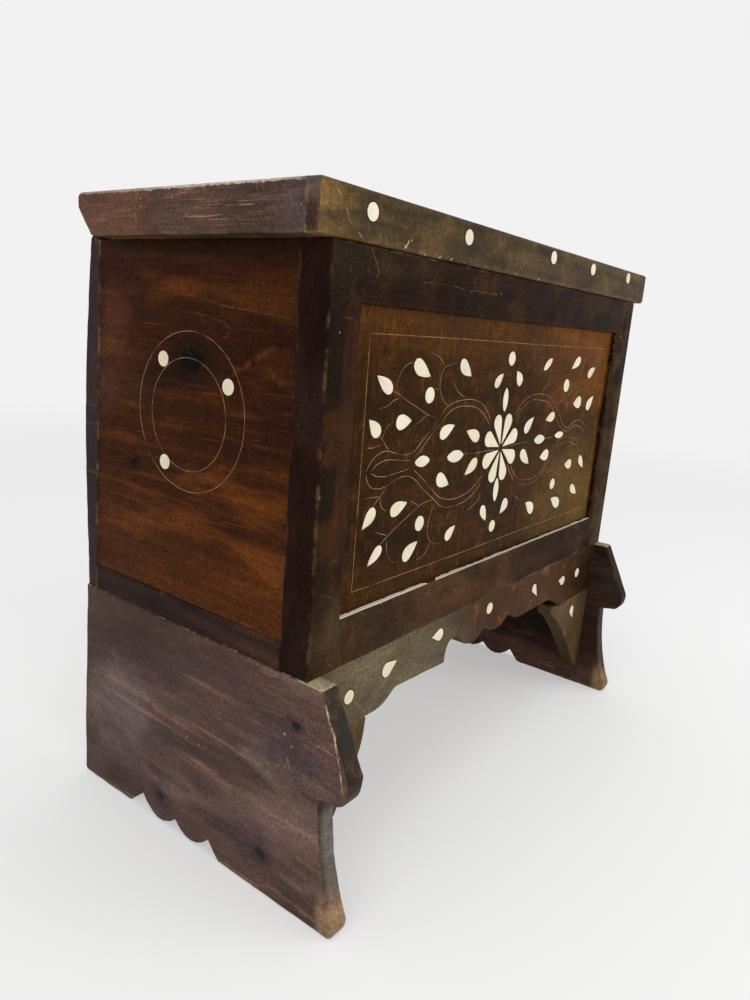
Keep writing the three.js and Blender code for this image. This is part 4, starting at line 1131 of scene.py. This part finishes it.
def add_chips(bone):
    for name, outline in panel_outlines():
        bm = bmesh.new()
        top = grown(outline, -CHIP_ROUND)
        stack(bm, PANEL, [(outline, CHIP_BASE), (outline, CHIP_SHOULDER), (top, CHIP_PROUD)])
        finish_piece(name, bm, PANEL, bone, "bone")


def bone_outline(node, face):
    """A bone's outline as the face sees it."""
    flat = []
    for vertex in frame["nodes"][node].data.vertices:
        a, b, height = face.seen(vertex.co)
        if height > 0:
            flat.append(Vector((a, b)))
    return counterclockwise([tuple(flat[i]) for i in geometry.convex_hull_2d(flat)])


def add_filler(name, face, outlines, material, slot):
    """The dark filler that shows around each bone of one board."""
    bm = bmesh.new()
    for seed, outline in enumerate(outlines):
        outer = grown(outline, FILLER_WIDTH, seed)
        inner = grown(outline, -FILLER_UNDER)
        stack(bm, face, [(outer, FILLER_BASE), (outer, FILLER_PROUD), (inner, FILLER_PROUD),
                         (inner, FILLER_BASE)], ring=True)
    finish_piece(name, bm, face, material, slot)


def add_fillers(material):
    def of(kind, face):
        return [bone_outline(name, face) for name in filter(is_bone, frame["nodes"]) if name.startswith(kind)]

    panel = [outline for _, outline in panel_outlines()] + of("rosette", PANEL)
    add_filler("panel_bone_filler", PANEL, panel, material, "panel_wood")
    for kind, face, slot in (("apron", APRON_FACE, "foot_wood"), ("bracket", BRACKET_FACE, "foot_wood"),
                             ("lid", LID_FACE, "lid_wood"), ("side", SIDE_FACE, "panel_wood")):
        add_filler(f"{kind}_bone_filler", face, of(kind, face), material, slot)


# Scribed lines

LINE_PROUD = 0.06
# The dark strips beside the vines and tendrils are painted shadow of the cut, shifted aside and barely proud.
GROOVE_SHADOW_PROUD = 0.03
GROOVE_SHADOW_SHIFT = 0.5
LINE_BASE = -0.15
LINE_STEP = 1.6
RING_POINTS = 24

BORDER = [
    [(18.9, 19.5), (19.2, 120), (18.7, 227.5)], [(17.5, 20.4), (180, 20.1), (350, 20.8), (509, 20.4)],
    [(508.2, 19), (508.5, 120), (508, 228)], [(18, 226.5), (180, 226.9), (350, 226.2), (509.5, 226.6)],
]
VINES = [
    [(26, 127.5), (33, 119), (43, 114), (53, 113), (67, 116.5), (80, 118.5), (92, 116.5), (103, 108.5),
     (115, 100), (127, 91), (137, 81.5), (150, 76.5), (163, 75), (177, 74.5), (190, 76), (203, 80),
     (215, 88), (223, 97)],
    [(33, 128), (40, 123), (52, 120.5), (65, 121.5), (77, 123), (88, 124)],
    [(93, 122.5), (100, 118.5), (113, 107), (127, 96.5), (138, 88.5), (150, 82.5), (163, 80.5), (177, 81),
     (190, 82.5), (203, 87.5), (215, 95), (222, 101.5)],
    [(26.5, 130), (28.5, 135), (34, 141), (45, 143.5), (55, 142.5), (67, 139), (78, 137), (88, 138),
     (98, 142.5), (108, 150), (120, 157.5), (132, 165), (142, 171.5), (153, 175), (167, 176), (180, 175),
     (193, 172.5), (205, 167.5), (217, 158)],
    [(33, 129), (40, 132.5), (52, 134), (67, 133), (87, 131)],
    [(93, 132.5), (100, 136.5), (115, 146.5), (127, 155), (138, 162.5), (150, 166.5), (163, 168.5),
     (177, 168), (190, 166), (202, 161.5), (212, 156), (218, 151)],
    [(275, 93.3), (283.3, 85), (293.3, 78.3), (306.7, 74.7), (321.7, 73), (338.3, 73.7), (351.7, 76.3),
     (365, 81.7), (376.7, 88.3), (388.3, 98.3), (398.3, 107.5), (410, 114.2), (420, 115), (430, 110.8),
     (441.7, 108), (453.3, 108.3), (463.3, 111.7), (470, 115.8)],
    [(280, 95), (290, 87.5), (301.7, 81.7), (315, 79.2), (330, 79.7), (345, 81.7), (358.3, 85.8),
     (370, 93.3), (381.7, 103.3), (393.3, 111.7), (405, 117.5), (416.7, 119.7), (428.3, 116.7),
     (438.3, 114.2), (450, 115), (460, 118.3), (468.3, 123.3)],
    [(270, 145), (278.3, 155), (290, 165), (303.3, 170), (318.3, 173.3), (335, 173.7), (350, 170),
     (361.7, 164.2), (371.7, 155), (381.7, 145), (393.3, 136.7), (406.7, 133.3), (418.3, 132.5),
     (431.7, 134.2), (443.3, 137.5), (456.7, 139.2)],
    [(276.7, 146.7), (285, 155), (295, 162.5), (308.3, 166.7), (323.3, 168.3), (340, 167.5), (353.3, 163.3),
     (363.3, 156.7), (373.3, 146.7), (383.3, 137.5), (393.3, 130), (406.7, 126.7), (418.3, 126.7),
     (435, 129.2), (451.7, 131.7)],
]
TENDRILS = [
    [(50, 63.3), (61.7, 66.7), (75, 72.5), (91.7, 79.2), (108.3, 85.8), (125, 90)],
    [(79, 41), (70, 43.7), (62.5, 50), (59, 58.3), (59.7, 65.8)],
    [(36.7, 78.3), (48.3, 75.8), (56.7, 71.7), (63.3, 70.8)],
    [(148.3, 40.8), (140, 43), (130, 44.7), (124.2, 51.7), (123.3, 61.7), (126.7, 69.2), (133.3, 75.8),
     (140.8, 79.2)],
    [(105, 33.8), (115, 35.3), (123.3, 39.7), (126.7, 43.7)],
    [(115, 63.8), (123.3, 64.2)],
    [(146.7, 58.3), (153.3, 65.8), (163.3, 70.8), (170, 72.5)],
    [(91.7, 93.3), (100, 89.2), (106.7, 85.8)],
    [(57.5, 90), (50.8, 92.5), (45.8, 99.2), (45, 103.3)],
    [(39.2, 100), (44.2, 102.5), (50, 108.3), (55, 113.3)],
    [(25, 108.3), (33.3, 108.7), (44.2, 106.7)],
    [(174.2, 125.8), (191.7, 127), (208.3, 127), (238.3, 127.5)],
    [(199.2, 114.7), (206.7, 115.3)],
    [(200.8, 129.2), (208.3, 128.3)],
    [(39.2, 158.3), (45, 152.5), (53.3, 146.3), (56.7, 143.3)],
    [(25, 149.2), (36.7, 149.7), (46.7, 150.5)],
    [(58.3, 164.2), (51.7, 160.8), (48.3, 154.2), (49.2, 150.8)],
    [(51.7, 193.3), (61.7, 187.5), (75, 180.8), (90, 174.2), (106.7, 167.5), (116.7, 165), (128.3, 164.2)],
    [(44.2, 180), (53.3, 183.3), (61.7, 185.8)],
    [(93.3, 160.3), (101.7, 164.2), (108.3, 167.5)],
    [(83.3, 213.7), (73.3, 212), (65.8, 205), (62.5, 196.7), (62.5, 190)],
    [(152.5, 209.2), (141.7, 208), (131.7, 204.2), (125.8, 196.7), (125, 185), (129.2, 175), (133.3, 168.3)],
    [(110.8, 218), (120, 216.7), (127.5, 211.7), (130.8, 205.8)],
    [(195, 185), (205, 180.8), (215, 176.7), (218.3, 166.7)],
    [(375, 85.8), (391.7, 82.5), (405, 78.3), (416.7, 71.7), (428.3, 67.5), (440, 66.7)],
    [(426.7, 40), (440, 33.3), (441.7, 40), (436.7, 50), (428.3, 55)],
    [(335, 70), (345, 63.3), (351.7, 55)],
    [(355, 77.5), (366.7, 71.7), (371.7, 63.3)],
    [(371.7, 165), (388.3, 166.7), (401.7, 170), (418.3, 176.7), (436.7, 182.5), (446.7, 186.7)],
    [(366.7, 173.3), (373.3, 183.3), (372.5, 193.3)],
    [(285, 176.7), (296.7, 183.3), (310, 190)],
    [(253.3, 125.8), (285, 125.3), (315, 124.2), (323.3, 124.2)],
    [(354.2, 124.2), (368.3, 124.2), (378.3, 123.3)],
    [(398.3, 80), (405, 86.7), (408.3, 95)],
]
# Two circles scribed around the bones of the side: centre's depth and height, and radius
CIRCLES = [(20.75, 394.3, 65.7), (22.9, 392.3, 46.5)]


def smooth_path(points, closed=False):
    """Points a step apart on a curve through the given ones."""
    points = [Vector(p) for p in points]
    count = len(points)
    path = []
    for i in range(count if closed else count - 1):
        around = ((i + k) % count if closed else min(max(i + k, 0), count - 1) for k in (-1, 0, 1, 2))
        p0, p1, p2, p3 = (points[k] for k in around)
        steps = max(1, round((p2 - p1).length / LINE_STEP))
        for step in range(steps):
            t = step / steps
            path.append(0.5 * (2 * p1 + (p2 - p0) * t + (2 * p0 - 5 * p1 + 4 * p2 - p3) * t * t
                               + (3 * p1 - p0 - 3 * p2 + p3) * t ** 3))
    if not closed:
        path.append(points[-1])
    return path


def ribbon(bm, face, points, width, seed=0, closed=False, proud=LINE_PROUD):
    """A thin raised strip along a smooth curve, a little uneven in width and thin at its open ends."""
    path = smooth_path(points, closed)
    last = len(path) - 1
    sections = []
    for i, here in enumerate(path):
        before = path[i - 1] if closed or i else here
        after = path[(i + 1) % len(path)] if closed or i < last else here
        ahead = (after - before).normalized()
        half = width / 2 * (0.9 + 0.5 * noise.noise(Vector((here.x * 0.15, here.y * 0.15, seed))))
        if not closed:
            half *= min(1, (min(i, last - i) + 1) / 4)
        side = Vector((-ahead.y, ahead.x)) * half
        left, right = here + side, here - side
        sections.append([bm.verts.new(face.at(p.x, p.y, height)) for p, height in
                         ((left, LINE_BASE), (left, proud), (right, proud), (right, LINE_BASE))])
    if not closed:
        add_caps(bm, sections)
    add_walls(bm, sections, closed)


def add_lines(name, face, lines, width, material, slot, closed=False, proud=LINE_PROUD):
    bm = bmesh.new()
    for seed, points in enumerate(lines):
        ribbon(bm, face, points, width, seed, closed, proud)
    finish_piece(name, bm, face, material, slot)


def line_material(name, pale, dim):
    """Dust in a scribed line: pale where it is fresh and near the wood's own colour where it is worn."""
    g = Graph(name)
    place = g.place()
    share = g.step(g.noise(place, 0.045, 3, 6.6, 0.6), 0.3, 0.6)
    fine = g.noise(place, 0.8, 2, 2.4)
    colour = g.mix(share, paint(*dim), paint(*pale))
    colour = g.mix(g.step(fine, 0.35, 0.7, 0, 0.35), colour, paint(*dim))
    g.set(Base_Color=colour, Roughness=0.7, Specular_IOR_Level=0.1)
    g.bump(fine, 0.3, 0.0002)
    return g.material


def below(lines, shift=0):
    """Lines measured down from the opening's corner as the panel's face has them, moved by shift."""
    return [[(a + shift, -b - shift) for a, b in line] for line in lines]


def add_scribing():
    vine = line_material("scribed_vine", (160, 124, 92), (84, 52, 30))
    border = line_material("scribed_border", (158, 124, 84), (80, 50, 26))
    ring = line_material("scribed_ring", (158, 122, 92), (84, 52, 34))
    # Painted shadow of the cut beside the vines and tendrils.
    groove_shadow = plain_material("scribed_groove_shadow", (20, 11, 7), 0.7, (36, 21, 12), shine=0.05)
    add_lines("panel_border_lines", PANEL, below(BORDER), 0.55, border, "panel_wood")
    add_lines("panel_vines", PANEL, below(VINES), 0.66, vine, "panel_wood")
    add_lines("panel_tendrils", PANEL, below(TENDRILS), 0.55, vine, "panel_wood")
    add_lines("panel_groove_shadows", PANEL, below(VINES + TENDRILS, GROOVE_SHADOW_SHIFT), 0.9, groove_shadow, "panel_wood",
              proud=GROOVE_SHADOW_PROUD)
    rings = [[(a - depth, b + height) for a, b in circle(radius, RING_POINTS)]
             for depth, height, radius in CIRCLES]
    add_lines("side_rings", SIDE_FACE, rings, 0.55, ring, "panel_wood", closed=True)


# Studio, in metres

BACKDROP_LEVEL = 0.885
FLOOR_GLOW = 0.4
WORLD_LEVEL = 0.55
FLOOR_SIDES = 48
FLOOR_RADII = (1.5, 9)
# Lamps: name, place, size and power; all point at the chest's middle
LAMPS = [
    ("front left", (-1.5, -2.4, 1.1), (1.8, 1.6), 20),
    ("front right", (1.4, -2.5, 1.1), (1.8, 1.6), 26),
    ("left", (-2.5, -0.3, 1.5), (1.6, 1.6), 16),
    ("top", (0.1, 0.2, 2.8), (2.4, 2.4), 22),
]
LAMP_TARGET = (0, 0, 0.25)


def lamp(name, place, size, power):
    data = bpy.data.lights.new(name, "AREA")
    data.shape = "RECTANGLE"
    data.size, data.size_y = size
    data.energy = power
    lamp_object = add_object(name, data)
    direction = Vector(LAMP_TARGET) - Vector(place)
    lamp_object.rotation_euler = direction.to_track_quat("-Z", "Y").to_euler()
    lamp_object.location = place


def make_studio():
    world = bpy.data.worlds.new("studio")
    world.use_nodes = True
    bpy.context.scene.world = world
    tree = world.node_tree
    background = tree.nodes["Background"]
    path = tree.nodes.new("ShaderNodeLightPath")
    seen = path.outputs["Is Camera Ray"]
    for kind in ("Is Glossy Ray", "Is Transmission Ray"):
        either = tree.nodes.new("ShaderNodeMath")
        either.operation = "MAXIMUM"
        tree.links.new(seen, either.inputs[0])
        tree.links.new(path.outputs[kind], either.inputs[1])
        seen = either.outputs[0]
    strength = tree.nodes.new("ShaderNodeMapRange")
    strength.inputs["To Min"].default_value = WORLD_LEVEL
    strength.inputs["To Max"].default_value = BACKDROP_LEVEL
    tree.links.new(seen, strength.inputs["Value"])
    tree.links.new(strength.outputs["Result"], background.inputs["Strength"])
    background.inputs["Color"].default_value = (1, 1, 1, 1)

    for settings in LAMPS:
        lamp(*settings)


def make_floor():
    """A pale floor that keeps the chest's shadow near it and fades into the backdrop further out."""
    bm = bmesh.new()
    middle = bm.verts.new((0, 0, 0))
    near, far = ([bm.verts.new((a, b, 0)) for a, b in circle(radius, FLOOR_SIDES)] for radius in FLOOR_RADII)
    for i in range(FLOOR_SIDES):
        j = (i + 1) % FLOOR_SIDES
        bm.faces.new((near[i], near[j], middle))
        bm.faces.new((far[i], far[j], near[j], near[i]))
    floor = add_object("floor", write_mesh(bm, bpy.data.meshes.new("floor")))
    g = Graph("floor")
    g.set(Base_Color=(0.95, 0.95, 0.945, 1), Roughness=0.85, Specular_IOR_Level=0.2)
    away = g.vector("LENGTH", g.node("TexCoord").outputs["Object"])
    seen = g.times(g.step(away, 0.9, 3.4, FLOOR_GLOW, 1), g.node("LightPath").outputs["Is Camera Ray"])
    glow = g.node("Emission", {"Color": (1, 1, 1, 1), "Strength": BACKDROP_LEVEL}).outputs["Emission"]
    blend = g.node("MixShader", (seen, g.shader.outputs["BSDF"], glow)).outputs["Shader"]
    g.feed(g.output.inputs["Surface"], blend)
    floor.data.materials.append(g.material)


# Bone and iron keep their own solids

def dress_small_parts(bone):
    iron = plain_material("hinge_iron", (46, 40, 36), 0.55, (84, 56, 40), metal=0.8)
    for name, node in frame["nodes"].items():
        finish = bone if is_bone(name) else iron if name.startswith("hinge") else None
        if finish:
            node.data.materials.clear()
            node.data.materials.append(finish)


bpy.context.scene.view_settings.view_transform = "Standard"
make_camera()
make_studio()
make_floor()
dress_boards()
bone_finish = bone_material()
dress_small_parts(bone_finish)
noise.seed_set(1)  # unset, noise_vector takes its seed from the clock
add_chips(bone_finish)
add_fillers(plain_material("bone_filler", (22, 13, 9), 0.6, (40, 24, 14), shine=0.1))
add_scribing()
